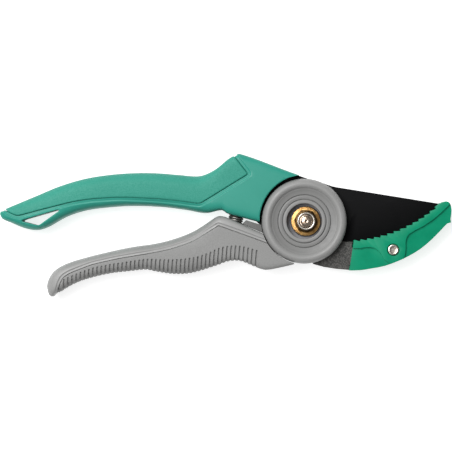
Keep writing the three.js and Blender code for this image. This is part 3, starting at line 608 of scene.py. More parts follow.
class Recipe:
    """A material being put together, with short calls for its nodes."""

    def __init__(self, name, color, roughness, metallic=0.0, **sockets):
        self.material = bpy.data.materials.new(name)
        self.material.use_nodes = True
        self.tree = self.material.node_tree
        self.shader = self.tree.nodes["Principled BSDF"]
        self.shader.inputs["Base Color"].default_value = (*linear(color), 1)
        self.shader.inputs["Roughness"].default_value = roughness
        self.shader.inputs["Metallic"].default_value = metallic
        for key, value in sockets.items():
            self.shader.inputs[key.replace("_", " ")].default_value = value
        self.place = self.tree.nodes.new("ShaderNodeTexCoord").outputs["Object"]
        self.height = None

    def node(self, kind, **inputs):
        made = self.tree.nodes.new(kind)
        for key, value in inputs.items():
            self.feed(made.inputs[key.replace("_", " ")], value)
        return made

    def feed(self, socket, value):
        if isinstance(value, bpy.types.NodeSocket):
            self.tree.links.new(value, socket)
        else:
            socket.default_value = value

    def noise(self, size_mm, detail=2.0, stretch=(1, 1, 1)):
        """Noise whose grains are about this size."""
        mapping = self.node("ShaderNodeMapping", Vector=self.place, Scale=stretch)
        made = self.node("ShaderNodeTexNoise", Vector=mapping.outputs[0], Scale=1 / (size_mm * MM),
                         Detail=detail)
        return made.outputs["Fac"]

    def cells(self, size_mm):
        """Rounded cells of about this size."""
        made = self.node("ShaderNodeTexVoronoi", Vector=self.place, Scale=1 / (size_mm * MM))
        return made.outputs["Distance"]

    def spread(self, value, low_in, high_in, low_out=0.0, high_out=1.0):
        """The value, with one range of it stretched over another and held at its ends."""
        made = self.node("ShaderNodeMapRange")
        self.feed(made.inputs["Value"], value)
        made.inputs["From Min"].default_value = low_in
        made.inputs["From Max"].default_value = high_in
        made.inputs["To Min"].default_value = low_out
        made.inputs["To Max"].default_value = high_out
        return made.outputs["Result"]

    def math(self, operation, a, b=0.0):
        made = self.node("ShaderNodeMath")
        made.operation = operation
        self.feed(made.inputs[0], a)
        self.feed(made.inputs[1], b)
        return made.outputs[0]

    def mix(self, factor, a, b):
        made = self.tree.nodes.new("ShaderNodeMix")
        made.data_type = "RGBA"
        self.feed(made.inputs["Factor"], factor)
        self.feed(made.inputs["A"], a if isinstance(a, bpy.types.NodeSocket) else (*linear(a), 1))
        self.feed(made.inputs["B"], b if isinstance(b, bpy.types.NodeSocket) else (*linear(b), 1))
        return made.outputs["Result"]

    def color(self, value):
        self.feed(self.shader.inputs["Base Color"], value)

    def roughness(self, value):
        self.feed(self.shader.inputs["Roughness"], value)

    def bump(self, value, depth_mm, strength):
        made = self.tree.nodes.new("ShaderNodeBump")
        made.inputs["Strength"].default_value = strength
        made.inputs["Distance"].default_value = depth_mm * MM
        self.feed(made.inputs["Height"], value)
        if self.height:
            self.tree.links.new(self.height, made.inputs["Normal"])
        self.height = made.outputs["Normal"]
        self.tree.links.new(self.height, self.shader.inputs["Normal"])

    def edges(self, radius_mm):
        """1 on sharp edges and corners, fading to 0 about this far away."""
        rounded_normal = self.node("ShaderNodeBevel", Radius=radius_mm * MM)
        rounded_normal.samples = 6
        plain = self.tree.nodes.new("ShaderNodeNewGeometry").outputs["Normal"]
        dot = self.node("ShaderNodeVectorMath")
        dot.operation = "DOT_PRODUCT"
        self.tree.links.new(rounded_normal.outputs["Normal"], dot.inputs[0])
        self.tree.links.new(plain, dot.inputs[1])
        return self.spread(dot.outputs["Value"], 0.99, 0.86)

    def from_pivot(self, offset=0.0):
        """Distance, in metres, from an axis this many mm along X from the pivot's."""
        parts = self.node("ShaderNodeSeparateXYZ", Vector=self.place)
        across = self.math("SUBTRACT", parts.outputs["X"], offset * MM)
        flat = self.node("ShaderNodeCombineXYZ", X=across, Y=parts.outputs["Y"])
        length = self.node("ShaderNodeVectorMath", Vector=flat.outputs[0])
        length.operation = "LENGTH"
        return length.outputs["Value"]


def linear(color):
    """The shader's value for a colour given as 0 to 255 screen values."""
    out = []
    for value in color:
        c = value / 255
        out.append(c / 12.92 if c <= 0.04045 else ((c + 0.055) / 1.055) ** 2.4)
    return out


GROUND_LAND = 9.8  # radius of the ground land round the blade's pivot


def hard_green():
    m = Recipe("hard_green_nylon", (46, 144, 127), 0.42, Specular_IOR_Level=0.28)
    m.color(m.mix(m.spread(m.noise(22, 3), 0.3, 0.7), (44, 141, 124), (50, 147, 130)))
    m.roughness(m.spread(m.noise(3.5, 4), 0.3, 0.7, 0.34, 0.48))
    m.bump(m.noise(0.4, 2), 0.014, 0.5)
    return m.material


def soft_green():
    m = Recipe("soft_green_elastomer", (48, 145, 127), 0.7, Specular_IOR_Level=0.4)
    grain = m.noise(0.5, 3)
    base = m.mix(m.spread(m.noise(30, 3), 0.3, 0.7), (45, 142, 124), (52, 149, 131))
    m.color(m.mix(m.spread(grain, 0.35, 0.7), base, (41, 136, 118)))
    m.roughness(m.spread(grain, 0.3, 0.7, 0.56, 0.76))
    m.bump(grain, 0.05, 0.5)
    m.bump(m.cells(0.8), 0.035, 0.3)
    return m.material


def anvil_green():
    m = Recipe("anvil_green_nylon", (9, 140, 104), 0.44, Specular_IOR_Level=0.18)
    m.color(m.mix(m.spread(m.noise(9, 4), 0.35, 0.65), (5, 136, 100), (11, 145, 108)))
    m.roughness(m.spread(m.noise(1.2, 4), 0.3, 0.7, 0.32, 0.48))
    m.bump(m.noise(0.35, 2), 0.015, 0.5)
    return m.material


def hard_grey():
    m = Recipe("hard_grey_nylon", (150, 150, 148), 0.44)
    m.color(m.mix(m.spread(m.noise(14, 4), 0.3, 0.7), (142, 142, 141), (149, 149, 148)))
    m.roughness(m.spread(m.noise(2.5, 4), 0.3, 0.7, 0.36, 0.52))
    m.bump(m.noise(0.3, 3), 0.02, 0.5)
    return m.material


def soft_grey():
    m = Recipe("soft_grey_elastomer", (142, 142, 141), 0.7, Specular_IOR_Level=0.4)
    grain = m.noise(0.45, 3)
    base = m.mix(m.spread(m.noise(26, 3), 0.3, 0.7), (139, 139, 138), (145, 145, 144))
    m.color(m.mix(m.spread(grain, 0.35, 0.7), base, (131, 131, 130)))
    m.roughness(m.spread(grain, 0.3, 0.7, 0.58, 0.78))
    m.bump(grain, 0.05, 0.5)
    return m.material


# painted shade: a darker copy of the soft grey that the bumper shares its slot with, standing in for the
# shade the bumper lies in
def bumper_painted_shade_grey():
    m = Recipe("bumper_grey_rubber", (106, 106, 105), 0.7, Specular_IOR_Level=0.35)
    grain = m.noise(0.5, 3)
    m.color(m.mix(m.spread(grain, 0.35, 0.7), (108, 108, 107), (98, 98, 97)))
    m.roughness(m.spread(grain, 0.3, 0.7, 0.6, 0.8))
    m.bump(grain, 0.04, 0.5)
    return m.material


def cover_grey():
    """Moulded grey, smoother and lighter on the rim and the lip than in the dish between them; the darker
    dish is painted shade, and the grey also grows darker towards the bore.
    """
    m = Recipe("hub_cover_grey", (146, 146, 145), 0.42, Specular_IOR_Level=0.35)
    speck = m.noise(0.4, 3)
    radius = m.from_pivot(COVER_OFFSET)
    past_lip = m.spread(radius, 10.3 * MM, 10.5 * MM)
    before_rim = m.spread(radius, 16.2 * MM, 15.2 * MM)
    # painted shade: the dish between the lip and the rim is darkened
    dish_painted_shade = m.math("MULTIPLY", past_lip, before_rim)
    # darker towards the bore, lighter towards the rim
    rim = m.mix(m.spread(radius, 10.2 * MM, 16 * MM), (136, 136, 135), (144, 144, 143))
    base = m.mix(dish_painted_shade, rim, (124, 124, 123))
    m.color(m.mix(m.math("MULTIPLY", m.spread(speck, 0.35, 0.7), 0.25), base, (110, 110, 109)))
    m.roughness(m.spread(m.noise(2.0, 3), 0.3, 0.7, 0.36, 0.5))
    m.bump(speck, 0.025, 0.5)
    return m.material


def dark_casting():
    """Textured black casting, rubbed lighter along its edges."""
    m = Recipe("dark_textured_casting", (66, 65, 64), 0.6, Specular_IOR_Level=0.4)
    grit = m.noise(0.6, 4)
    base = m.mix(m.spread(grit, 0.42, 0.7), (58, 57, 56), (104, 102, 99))
    rubbed = m.math("MULTIPLY", m.edges(0.35), m.spread(m.noise(1.4, 4), 0.4, 0.65, 0.0, 0.7))
    m.color(m.mix(rubbed, base, (120, 118, 114)))
    m.roughness(m.spread(grit, 0.35, 0.7, 0.7, 0.45))
    m.bump(grit, 0.1, 0.7)
    m.bump(m.cells(1.0), 0.05, 0.4)
    return m.material


def dark_plastic():
    m = Recipe("dark_grey_plastic", (72, 72, 71), 0.5)
    grit = m.noise(0.6, 3)
    m.color(m.mix(m.spread(grit, 0.38, 0.7), (68, 68, 67), (92, 92, 90)))
    m.roughness(m.spread(m.noise(2.0, 3), 0.3, 0.7, 0.42, 0.6))
    m.bump(grit, 0.05, 0.6)
    return m.material


def coated_blade():
    """Satin non-stick coating with hair scratches, ground bare round the pivot and worn at its edges."""
    m = Recipe("black_blade_coating", (20, 20, 21), 0.5, Specular_IOR_Level=0.08)
    scratch = m.noise(0.35, 2, stretch=(0.03, 1, 1))
    coat = m.mix(m.spread(scratch, 0.66, 0.82), (13, 13, 14), (27, 27, 28))
    worn = m.math("MULTIPLY", m.edges(0.25), m.spread(m.noise(0.9, 4), 0.42, 0.62, 0.0, 0.55))
    coat = m.mix(worn, coat, (72, 72, 72))
    ground = m.spread(m.from_pivot(), GROUND_LAND * MM, (GROUND_LAND + 0.15) * MM, 1, 0)
    m.color(m.mix(ground, coat, (152, 152, 156)))
    m.roughness(m.spread(m.noise(16, 4), 0.3, 0.7, 0.4, 0.54))
    m.bump(m.noise(0.5, 3), 0.012, 0.5)
    m.bump(scratch, 0.01, 0.3)
    return m.material


def plated(name, color, dark, roughness, grain_mm=0.35, stain_mm=1.6):
    """Plated steel: stained in patches, with fine tool marks."""
    m = Recipe(name, color, roughness, 1.0)
    m.color(m.mix(m.spread(m.noise(stain_mm, 5), 0.38, 0.68), color, dark))
    m.roughness(m.spread(m.noise(0.8, 4), 0.3, 0.7, roughness * 0.75, roughness * 1.35))
    m.bump(m.noise(grain_mm, 2), 0.012, 0.5)
    return m.material


def yellow_zinc():
    """Yellow zinc plating, with painted shade darkening the hexagon and the corner round it."""
    m = Recipe("yellow_zinc", (214, 172, 104), 0.3, 1.0)
    plating = m.mix(m.spread(m.noise(1.3, 5), 0.38, 0.7), (196, 156, 98), (130, 90, 48))
    # painted shade: dark brown over the hexagon and the corner round it, patchy with noise
    near_hexagon = m.spread(m.from_pivot(), 5.1 * MM, 5.7 * MM, 1, 0)
    hexagon_painted_shade = m.math("MULTIPLY", near_hexagon, m.spread(m.noise(0.9, 4), 0.3, 0.6, 0.75, 1.0))
    m.color(m.mix(hexagon_painted_shade, plating, (52, 40, 26)))
    m.roughness(m.spread(m.noise(0.8, 4), 0.3, 0.7, 0.3, 0.46))
    m.bump(m.noise(0.35, 2), 0.015, 0.5)
    return m.material


HARD_GREEN = hard_green()
SOFT_GREEN = soft_green()
ANVIL_GREEN = anvil_green()
HARD_GREY = hard_grey()
SOFT_GREY = soft_grey()
BUMPER_PAINTED_SHADE_GREY = bumper_painted_shade_grey()
COVER_GREY = cover_grey()
DARK_CASTING = dark_casting()
DARK_PLASTIC = dark_plastic()
BLADE_COAT = coated_blade()
YELLOW_ZINC = yellow_zinc()
BRIGHT_STEEL = plated("bright_zinc", (212, 206, 196), (168, 160, 150), 0.3)
BOLT_STEEL = plated("polished_bolt_steel", (204, 188, 172), (156, 134, 116), 0.26, 0.6, 2.4)
DARK_STEEL = plated("dark_oiled_steel", (104, 104, 106), (72, 72, 74), 0.5)
SPRING_STEEL = plated("spring_steel", (168, 166, 162), (120, 116, 112), 0.42)
BRONZE = plated("sintered_bronze", (176, 124, 72), (110, 76, 44), 0.45)

# ---------- Spring seats and lock room ----------

SPRING_AXIS = Vector((0.26, 0.97, 0)).normalized()
SPRING_CENTRE = Vector((-33.6, 1.1, MIDDLE))
SPRING_RADIUS = 3.65
SPRING_LENGTH = 14
SPRING_WIRE = 0.9
PEG_RADIUS = SPRING_RADIUS - SPRING_WIRE - 2 * GAP
PEG_LENGTH = 3.5

LOCK_ANGLE = math.radians(153.5)
LOCK_TRAVEL = 2.7
BUTTON_FROM, BUTTON_TO = 28.5, 39  # the lock's thumb button, by distance from the pivot
BUTTON_WIDTH, BUTTON_HEIGHT = 8.6, 2.5
STEM_FROM, STEM_TO = 31.2, 35.2
STEM_WIDTH = 4.0
NOSE_WIDTH = 6.0


def on_axis(obj, axis):
    """Turns a piece made along Z onto this line through the spring's middle."""
    turn = Vector((0, 0, 1)).rotation_difference(axis).to_matrix().to_4x4()
    obj.data.transform(Matrix.Translation(SPRING_CENTRE * MM) @ turn)
    return obj


def spring_room(side):
    """The round pocket that one end of the spring sits in."""
    reach = SPRING_LENGTH / 2 + GAP
    return on_axis(cylinder(SPRING_RADIUS + 2 * GAP, 0, reach, steps=40), SPRING_AXIS * side)


def spring_peg(side):
    reach = SPRING_LENGTH / 2 + GAP
    peg = cylinder(PEG_RADIUS, reach - PEG_LENGTH, reach + 1, steps=32)
    ease_edges(peg, 0.5)
    return on_axis(peg, SPRING_AXIS * side)


def radial_box(start, end, width, back, front):
    """A box on the line that the lock slides on."""
    bpy.ops.object.select_all(action="DESELECT")
    bpy.ops.mesh.primitive_cube_add(size=1)
    obj = bpy.context.object
    obj.scale = ((end - start) * MM, width * MM, (front - back) * MM)
    obj.location = ((start + end) / 2 * MM, 0, (front + back) / 2 * MM)
    settle(obj)
    obj.data.transform(Matrix.Rotation(LOCK_ANGLE, 4, "Z"))
    return obj


def lock_pocket():
    """Room for the thumb button in the back face."""
    button_front = low("lock_slider", 2) + BUTTON_HEIGHT + GAP
    start = BUTTON_FROM - LOCK_TRAVEL - GAP
    return radial_box(start, BUTTON_TO + GAP, BUTTON_WIDTH + 2 * GAP, BACK, button_front)


def lock_room():
    """The pocket, the guide for the nose and the slot for the stem between them."""
    end = STEM_TO + GAP
    guide = radial_box(BODY_ARC - 2, end, NOSE_WIDTH + 2 * GAP, BLADE_BACK - GAP, BLADE_FRONT + GAP)
    slot = radial_box(STEM_FROM - LOCK_TRAVEL - GAP, end, STEM_WIDTH + 2 * GAP, BACK, MIDDLE)
    return [lock_pocket(), guide, slot]


# ---------- Upper handle ----------

EYE = rounded(HANGING_EYE, 0.6, 4)
EYE_LOOP = [*EYE, EYE[0]]
EYE_ROUND = 0.7
EYE_DROP = 0.5  # how far the rounding pulls the eye's edge in
HOLLOW_FLARE = 0.6
EYE_BAND = (-0.3, EYE_ROUND + 0.3)  # distance from a line within which the faces are divided
PAD_EDGE_BAND = (-2.1, 0.7)
SHOULDER_BAND = (-0.3, 0.8)


def body_hollow():
    """Cutter for the hollow end round the hub: narrower at the back, and flared at both faces."""
    flare = HOLLOW_FLARE
    angles = [math.radians(a) for a in range(0, 91, 18)]
    curve = [(flare * (1 - math.sin(a)), flare * (1 - math.cos(a))) for a in angles]
    room = COVER_RADIUS + 2 * GAP
    step = high("hub_cover_back", 2) + GAP / 2
    back_face = low("upper_handle", 2)
    front = [(BODY_ARC + out, BODY_FRONT - down) for out, down in curve]
    back = [(room + out, back_face + up) for out, up in reversed(curve)]
    wall = [*front, (BODY_ARC, step), (room, step), *back]
    profile = [(0, FRONT), (BODY_ARC + flare, FRONT), *wall, (room + flare, 2 * BACK), (0, 2 * BACK)]
    return turned(profile, 192, ring=False)


def outside_eye(xy):
    """Distance outside the hanging eye; negative inside it."""
    away = distance_to(EYE_LOOP, xy)
    return np.where(inside(EYE, xy), -away, away)


def make_upper_handle():
    handle = UPPER.mesh(0.9)
    UPPER.refine(handle, outside_eye, EYE_BAND, 3)
    UPPER.refine(handle, UPPER_PAD.into, PAD_EDGE_BAND, 4)
    pad = duplicate(handle)
    place = mesh_points(handle)[:, :2]
    eye = eased_depth(np.maximum(outside_eye(place), 0), EYE_ROUND, EYE_DROP)
    press(handle, UPPER_PAD.hard_depth(place) + eye)
    press(pad, UPPER_PAD.soft_depth(place))
    cut(
        handle,
        body_hollow(),
        cylinder(RIM_RADIUS + 2 * GAP, BLADE_BACK - GAP, BLADE_FRONT + GAP, steps=120),
        plate(EYE, BACK, FRONT),
        spring_room(1),
        *lock_room(),
    )
    join_solid(handle, spring_peg(1))
    mend(handle, 0.005)
    soft_pad(UPPER, UPPER_PAD, pad, lock_pocket())
    return shade(handle, 50), pad


# ---------- Lower handle ----------

RIB_PITCH = 2.0
RIB_SPAN = (-121.6, -22.9)
RIB_GROOVE = 0.85  # width of the grooves between the ribs
RIB_DEPTH = 1.05
EDGE_RIB_DEPTH = 0.3
RIB_LEAN = 0.08
RIB_FOOT = -45  # where the grooves' cutters end, below the handle
BUMPER_SEAT = [(-30.5, -1.27), (-28.7, 0.9), (-16, -2.9), (-16, -7.54)]


def lower_cuts():
    """Room for the covers, the blade's rim, the spring and the bumper."""
    return [
        cylinder(COVER_RADIUS + 2 * GAP, BACK, BLADE_BACK - GAP + OVERLAP, steps=120),
        cylinder(RIM_RADIUS + GAP, BLADE_BACK - GAP, BLADE_FRONT + GAP, steps=120),
        cylinder(COVER_RADIUS + GAP, BLADE_FRONT + GAP - OVERLAP, FRONT, (COVER_OFFSET, 0), 192),
        spring_room(-1),
        plate(BUMPER_SEAT, BACK, FRONT),
    ]


def rib_groove(x):
    """One slot across the underside, with a round top on the rib line."""
    half = RIB_GROOVE / 2
    top = heights(RIB_TOP_LINE, np.array([x]))[0] - half
    lean = RIB_LEAN * (top - RIB_FOOT)
    angles = [math.radians(a) for a in range(0, 181, 20)]
    arc = [(x + half * math.cos(a), top + half * math.sin(a)) for a in angles]
    return plate([*arc, (x - half - lean, RIB_FOOT), (x + half - lean, RIB_FOOT)], BACK, FRONT)


def rib_grooves():
    """All the slots, only as deep as a groove: shallower at the edge than on the faces."""
    count = round((RIB_SPAN[1] - RIB_SPAN[0]) / RIB_PITCH)
    slots = [rib_groove(RIB_SPAN[0] + RIB_PITCH * i) for i in range(count + 1)]
    take(*slots)
    bpy.ops.object.join()
    core = LOWER.mesh(0.8, EDGE_RIB_DEPTH)
    points = mesh_points(core)
    thickness = LOWER_HALF[-1][1]
    points[:, 2] = MIDDLE + (points[:, 2] - MIDDLE) * (thickness - RIB_DEPTH) / (thickness - EDGE_RIB_DEPTH)
    put_points(core, points)
    cut(slots[0], core)
    return slots[0]


def make_lower_handle():
    handle = LOWER.mesh(0.8)
    LOWER.refine(handle, LOWER_PAD.into, PAD_EDGE_BAND, 4)
    press(handle, LOWER_PAD.hard_depth(mesh_points(handle)[:, :2]))
    cut(handle, *lower_cuts())
    join_solid(handle, spring_peg(-1))
    mend(handle, 0.005)
    pad = LOWER.mesh(0.8)
    LOWER.refine(pad, LOWER_PAD.into, SHOULDER_BAND, 3)
    press(pad, LOWER_PAD.soft_depth(mesh_points(pad)[:, :2]))
    soft_pad(LOWER, LOWER_PAD, pad, *lower_cuts(), rib_grooves())
    return shade(handle, 50), pad


upper_handle, upper_pad = make_upper_handle()
lower_handle, lower_pad = make_lower_handle()
finish_piece(upper_handle, "upper_handle_body", "upper_lever", HARD_GREEN, "hard_green", "upper_handle")
finish_piece(upper_pad, "upper_grip_pad", "upper_lever", SOFT_GREEN, "soft_green", "upper_grip")
finish_piece(lower_handle, "lower_handle_body", "lower_lever", HARD_GREY, "hard_grey", "lower_handle")
finish_piece(lower_pad, "lower_grip_pad", "lower_lever", SOFT_GREY, "soft_grey", "lower_grip")

# ---------- Pieces that keep the model's shape, with their edges rounded ----------

CARRIER_WEB = [(13.5, -12), (23.4, -12), (23.8, -7.7), (13.5, -7.7)]
WEB_BACK = 4.9
WEB_ARC = COVER_RADIUS - 8  # the web stays outside this radius
BUMPER_FOOT = [(-30.45, -1.33), (-28.6, 0.3), (-18, -3.0), (-18, -6.72)]
FOOT_BACK, FOOT_FRONT = 4.2, 7.0
FOOT_ARC = COVER_RADIUS + 2.3 * GAP  # the foot stays outside this radius


def eased_copy(node, body, material, slot, width, segments, angle=30):
    obj = copy_of(node)
    ease_edges(obj, width, segments, angle)
    shade(obj, 40)
    return finish_piece(obj, node + "_piece", body, material, slot, node)


def make_carrier():
    """The casting, with a thin web behind the blade that closes the slit at its heel."""
    casting = copy_of("jaw_frame")
    web = plate(CARRIER_WEB, WEB_BACK, BLADE_BACK - 0.5)
    cut(web, cylinder(WEB_ARC, BACK, FRONT))
    join_solid(casting, web)
    ease_edges(casting, 0.35)
    return shade(casting, 40)


def make_bumper():
    """The rubber stop, with a foot that reaches to the handle and to the hub's covers."""
    foot = plate(BUMPER_FOOT, FOOT_BACK, FOOT_FRONT)
    cut(foot, cylinder(FOOT_ARC, BACK, FRONT, steps=120))
    bumper = join_solid(copy_of("closing_bumper"), foot)
    ease_edges(bumper, 0.3, 2, 40)
    return shade(bumper, 40)


finish_piece(make_carrier(), "anvil_carrier", "upper_lever", DARK_CASTING, "dark_casting", "jaw_frame")
eased_copy("anvil", "upper_lever", ANVIL_GREEN, "anvil_plastic", 0.25, 3, 25)
eased_copy("blade", "lower_lever", BLADE_COAT, "black_coated_steel", 0.12, 2, 25)
eased_copy("lock_slider", "lock", DARK_PLASTIC, "dark_plastic", 0.25, 2)
finish_piece(make_bumper(), "rubber_bumper", "lower_lever", BUMPER_PAINTED_SHADE_GREY, "soft_grey", "closing_bumper")

# ---------- Hub ----------

GROOVE_DEPTH = 0.6
THREAD_PITCH = 0.3
THREAD_DEPTH = 0.16
HEAD_RADIUS = 7.2  # of the bolt
BOLT_WASHER_THICKNESS = 0.9
FLANGE_TEETH = 64
TOOTH_HEIGHT = 0.05
NUT_HALF_WIDTH = 5.0  # half the hexagon's width across its flats
NUT_TURN = -6  # degrees to the hexagon's first corner
RING_EDGE = 0.15


def hexagon(radius, turn, centre=(0, 0)):
    """Corners of a hexagon, the first one at this angle in degrees."""
    angles = [math.radians(60 * i + turn) for i in range(6)]
    return [(centre[0] + radius * math.cos(a), centre[1] + radius * math.sin(a)) for a in angles]


def groove(radius, surface, width=0.42):
    """A fine round-bottomed groove turned into a face, from outside to inside."""
    half = width / 2
    side, bottom = surface - GROOVE_DEPTH * 0.8, surface - GROOVE_DEPTH
    return [
        (radius + half, surface), (radius + half * 0.6, side), (radius, bottom),
        (radius - half * 0.6, side), (radius - half, surface),
    ]


def make_front_cover():
    """Rounded rim, a soft crease, a shallow dish, a fine groove, a flat ring and the lip of the bore."""
    top, base = COVER_FRONT, BLADE_FRONT + GAP
    wall = COVER_RADIUS
    profile = [
        (COVER_BORE, base), (wall - 0.2, base), (wall, base + 0.2), (wall, top - 3.2),
        (wall - 0.12, top - 2.3), (wall - 0.42, top - 1.45), (wall - 0.95, top - 0.7),
        (wall - 1.7, top - 0.2), (wall - 2.5, top), (wall - 3.2, top - 0.12), (wall - 3.85, top - 0.5),
        (wall - 4.3, top - 0.95), (wall - 4.6, top - 1.3), (wall - 4.85, top - 1.42),
        (wall - 5.2, top - 1.42), (15.0, top - 1.48), (14.0, top - 1.66), (13.2, top - 1.8),
        *groove(12.6, top - 1.85),
        (12.2, top - 1.8), (11.5, top - 1.75), (10.9, top - 1.8),
        *groove(10.45, top - 1.85, 0.36),
        (10.1, top - 1.62), (9.9, top - 1.55), (8.8, top - 1.55), (8.6, top - 1.62),
        (COVER_BORE, top - 1.8),
    ]
    return shade(turned(profile, 224, (COVER_OFFSET, 0)), 40)


def make_back_cover():
    """The same dish, flatter; its rounded rim is what the shears lie on."""
    wall, base = COVER_RADIUS, high("hub_cover_back", 2)
    profile = [
        (COVER_BORE, base), (wall - 0.2, base), (wall, base - 0.2), (wall, 2.3), (wall - 0.15, 1.5),
        (wall - 0.6, 0.75), (wall - 1.2, 0.25), (wall - 1.9, 0), (wall - 3.3, 0), (wall - 3.9, 0.25),
        (wall - 4.5, 0.75), (wall - 5.0, 1.05), (14.6, 1.15), (13.2, 1.4),
        (12.8, 1.5), (12.7, 1.95), (12.45, 2.0), (12.3, 1.5),
        (9.2, 1.4), (8.7, 1.45), (COVER_BORE, 1.65),
    ]
    return shade(turned(profile, 224), 40)


def make_bolt():
    """Domed, collared head at the back, and a polished end with a turning centre at the front."""
    head = high("bolt_washer", 2) - BOLT_WASHER_THICKNESS - GAP
    shank, end = BOLT_RADIUS, high("pivot_bolt", 2)
    tip = shank - 0.35
    profile = [
        (0, 0.9), (0.35, 0.7), (0.9, 0.25), (1.3, 0.08), (2.2, 0), (6.0, 0), (6.6, 0.15), (7.0, 0.5),
        (HEAD_RADIUS, 1.1), (HEAD_RADIUS, head - 0.25), (HEAD_RADIUS - 0.25, head),
        (shank, head), (shank, end - 3.0), *thread(shank, end - 3.0, end - 1.8),
        (tip, end - 1.75), (tip, end - 0.65), (tip - 0.08, end - 0.5), (tip - 0.4, end - 0.3),
        (tip - 0.9, end - 0.14), (tip - 1.6, end - 0.03), (0.75, end),
        (0.35, end - 0.12), (0.12, end - 0.3), (0, end - 0.35),
    ]
    return shade(turned(profile, 96, ring=False), 30)


def thread(radius, start, end):
    """Ridges of the thread as rings."""
    points = []
    for i in range(round((end - start) / THREAD_PITCH)):
        z = start + THREAD_PITCH * i
        points += [(radius - THREAD_DEPTH, z + THREAD_PITCH * 0.5), (radius, z + THREAD_PITCH)]
    return points


def make_nut():
    """A hexagon with a chamfered crown on a flange whose top is serrated."""
    back, front = low("flange_nut", 2), high("flange_nut", 2)
    hole = BOLT_RADIUS + GAP
    flange = turned([
        (hole, back), (6.8, back), (7.0, back + 0.2), (7.0, back + 0.85), (6.85, back + 1.02),
        (6.5, back + 1.1), (6.1, back + 1.17), (5.7, back + 1.23), (5.3, back + 1.3), (4.6, back + 1.4),
        (hole, back + 1.5),
    ], FLANGE_TEETH * 4)
    serrate(flange, back + 0.8, 4.8)
    crown = turned([
        (hole, back + 0.6), (6.4, back + 0.6), (6.4, front - 1.2), (5.75, front - 0.7),
        (5.2, front - 0.25), (4.75, front), (hole, front),
    ], 96)
    corners = hexagon(NUT_HALF_WIDTH / math.cos(math.pi / 6), NUT_TURN)
    body = plate(corners, back + 0.5, front + 1)
    combine(body, crown, "INTERSECT")
    ease_edges(body, 0.12, 2)
    join_solid(flange, body)
    mend(flange, 0.003)
    return shade(flange, 30)


def serrate(flange, above, outside):
    """Presses fine teeth into the flange's top, above this height and outside this radius."""
    points = mesh_points(flange)
    angle = np.arctan2(points[:, 1], points[:, 0])
    radius = np.hypot(points[:, 0], points[:, 1])
    on_top = (points[:, 2] > above) & (radius > outside)
    points[:, 2] -= np.where(on_top, TOOTH_HEIGHT / 2 * (1 - np.cos(angle * FLANGE_TEETH)), 0)
    put_points(flange, points)


def make_ring(node, hole):
    """A washer or ring with rounded corners, in the space of its node."""
    outer = high(node, 0)
    back, front = low(node, 2), high(node, 2)
    corners = [(hole, back), (outer, back), (outer, front), (hole, front)]
    return shade(turned(rounded(corners, RING_EDGE, 3), 96), 40)


def make_collar():
    """The bright prevailing-torque collar, dished inside."""
    outer, hole = high("nut_locking_ring", 0), BOLT_RADIUS + 0.14
    back, front = low("nut_locking_ring", 2), high("nut_locking_ring", 2)
    profile = [
        (hole, back), (outer - 0.1, back), (outer, back + 0.12), (outer, front - 0.3),
        (outer - 0.12, front - 0.1), (outer - 0.35, front), (outer - 0.75, front - 0.02),
        (outer - 0.95, front - 0.14), (hole, front - 0.45),
    ]
    return shade(turned(profile, 96), 40)


finish_piece(make_front_cover(), "front_cover", "lower_lever", COVER_GREY, "hard_grey", "hub_cover_front")
finish_piece(make_back_cover(), "back_cover", "upper_lever", COVER_GREY, "hard_grey", "hub_cover_back")
finish_piece(make_bolt(), "bolt", "upper_lever", BOLT_STEEL, "bright_steel", "pivot_bolt")
finish_piece(make_nut(), "serrated_flange_nut", "upper_lever", YELLOW_ZINC, "yellow_zinc", "flange_nut")
finish_piece(make_collar(), "nut_collar", "upper_lever", BRIGHT_STEEL, "bright_steel", "nut_locking_ring")
for node, material, slot, hole in (
    ("bolt_washer", DARK_STEEL, "dark_steel", BOLT_RADIUS + GAP),
    ("nut_washer", DARK_STEEL, "dark_steel", BOLT_RADIUS + GAP),
    ("glide_washer", BRONZE, "sintered_bronze", 4.9),
    ("pivot_bushing", BRONZE, "sintered_bronze", BOLT_RADIUS + GAP),
):
    finish_piece(make_ring(node, hole), node + "_piece", "upper_lever", material, slot, node)

# ---------- Anvil screw and its nut ----------

ANVIL_SCREW = (41.8, -13.7)
SCREW_SHANK = 1.5
SCREW_HEAD = 2.7
SCREW_HEAD_HEIGHT = 1.65
SOCKET_RADIUS = 1.42
SOCKET_TURN = 15
SOCKET_DEPTH = 1.35


def make_screw():
    """Round head with a rolled edge and a hexagon socket."""
    end, top = low("anvil_screw", 2) + 0.3, high("anvil_screw", 2)
    under = top - SCREW_HEAD_HEIGHT
    screw = turned([
        (0, end), (SCREW_SHANK - 0.3, end), (SCREW_SHANK, low("anvil_screw", 2) + 0.6),
        (SCREW_SHANK, under), (SCREW_HEAD - 0.2, under), (SCREW_HEAD, under + 0.2),
        (SCREW_HEAD, top - 0.75), (2.62, top - 0.4), (2.4, top - 0.12),
        (2.1, top), (1.85, top - 0.02), (1.6, top - 0.16), (0, top - 0.16),
    ], 64, ANVIL_SCREW, ring=False)
    cut(screw, plate(hexagon(SOCKET_RADIUS, SOCKET_TURN, ANVIL_SCREW), top - SOCKET_DEPTH, top + 2))
    return shade(mend(screw, 0.003), 30)


def make_screw_nut():
    obj = copy_of("anvil_screw_nut")
    ease_edges(obj, 0.2, 2, 40)
    return shade(obj, 35)


finish_piece(make_screw(), "socket_screw", "upper_lever", BRIGHT_STEEL, "bright_steel", "anvil_screw")
finish_piece(make_screw_nut(), "screw_nut", "upper_lever", BRIGHT_STEEL, "bright_steel", "anvil_screw_nut")

# ---------- Spring ----------

SPRING_TURNS = 12.5
STEPS_A_TURN = 40
WIRE_SIDES = 12
END_CLOSING = 0.12


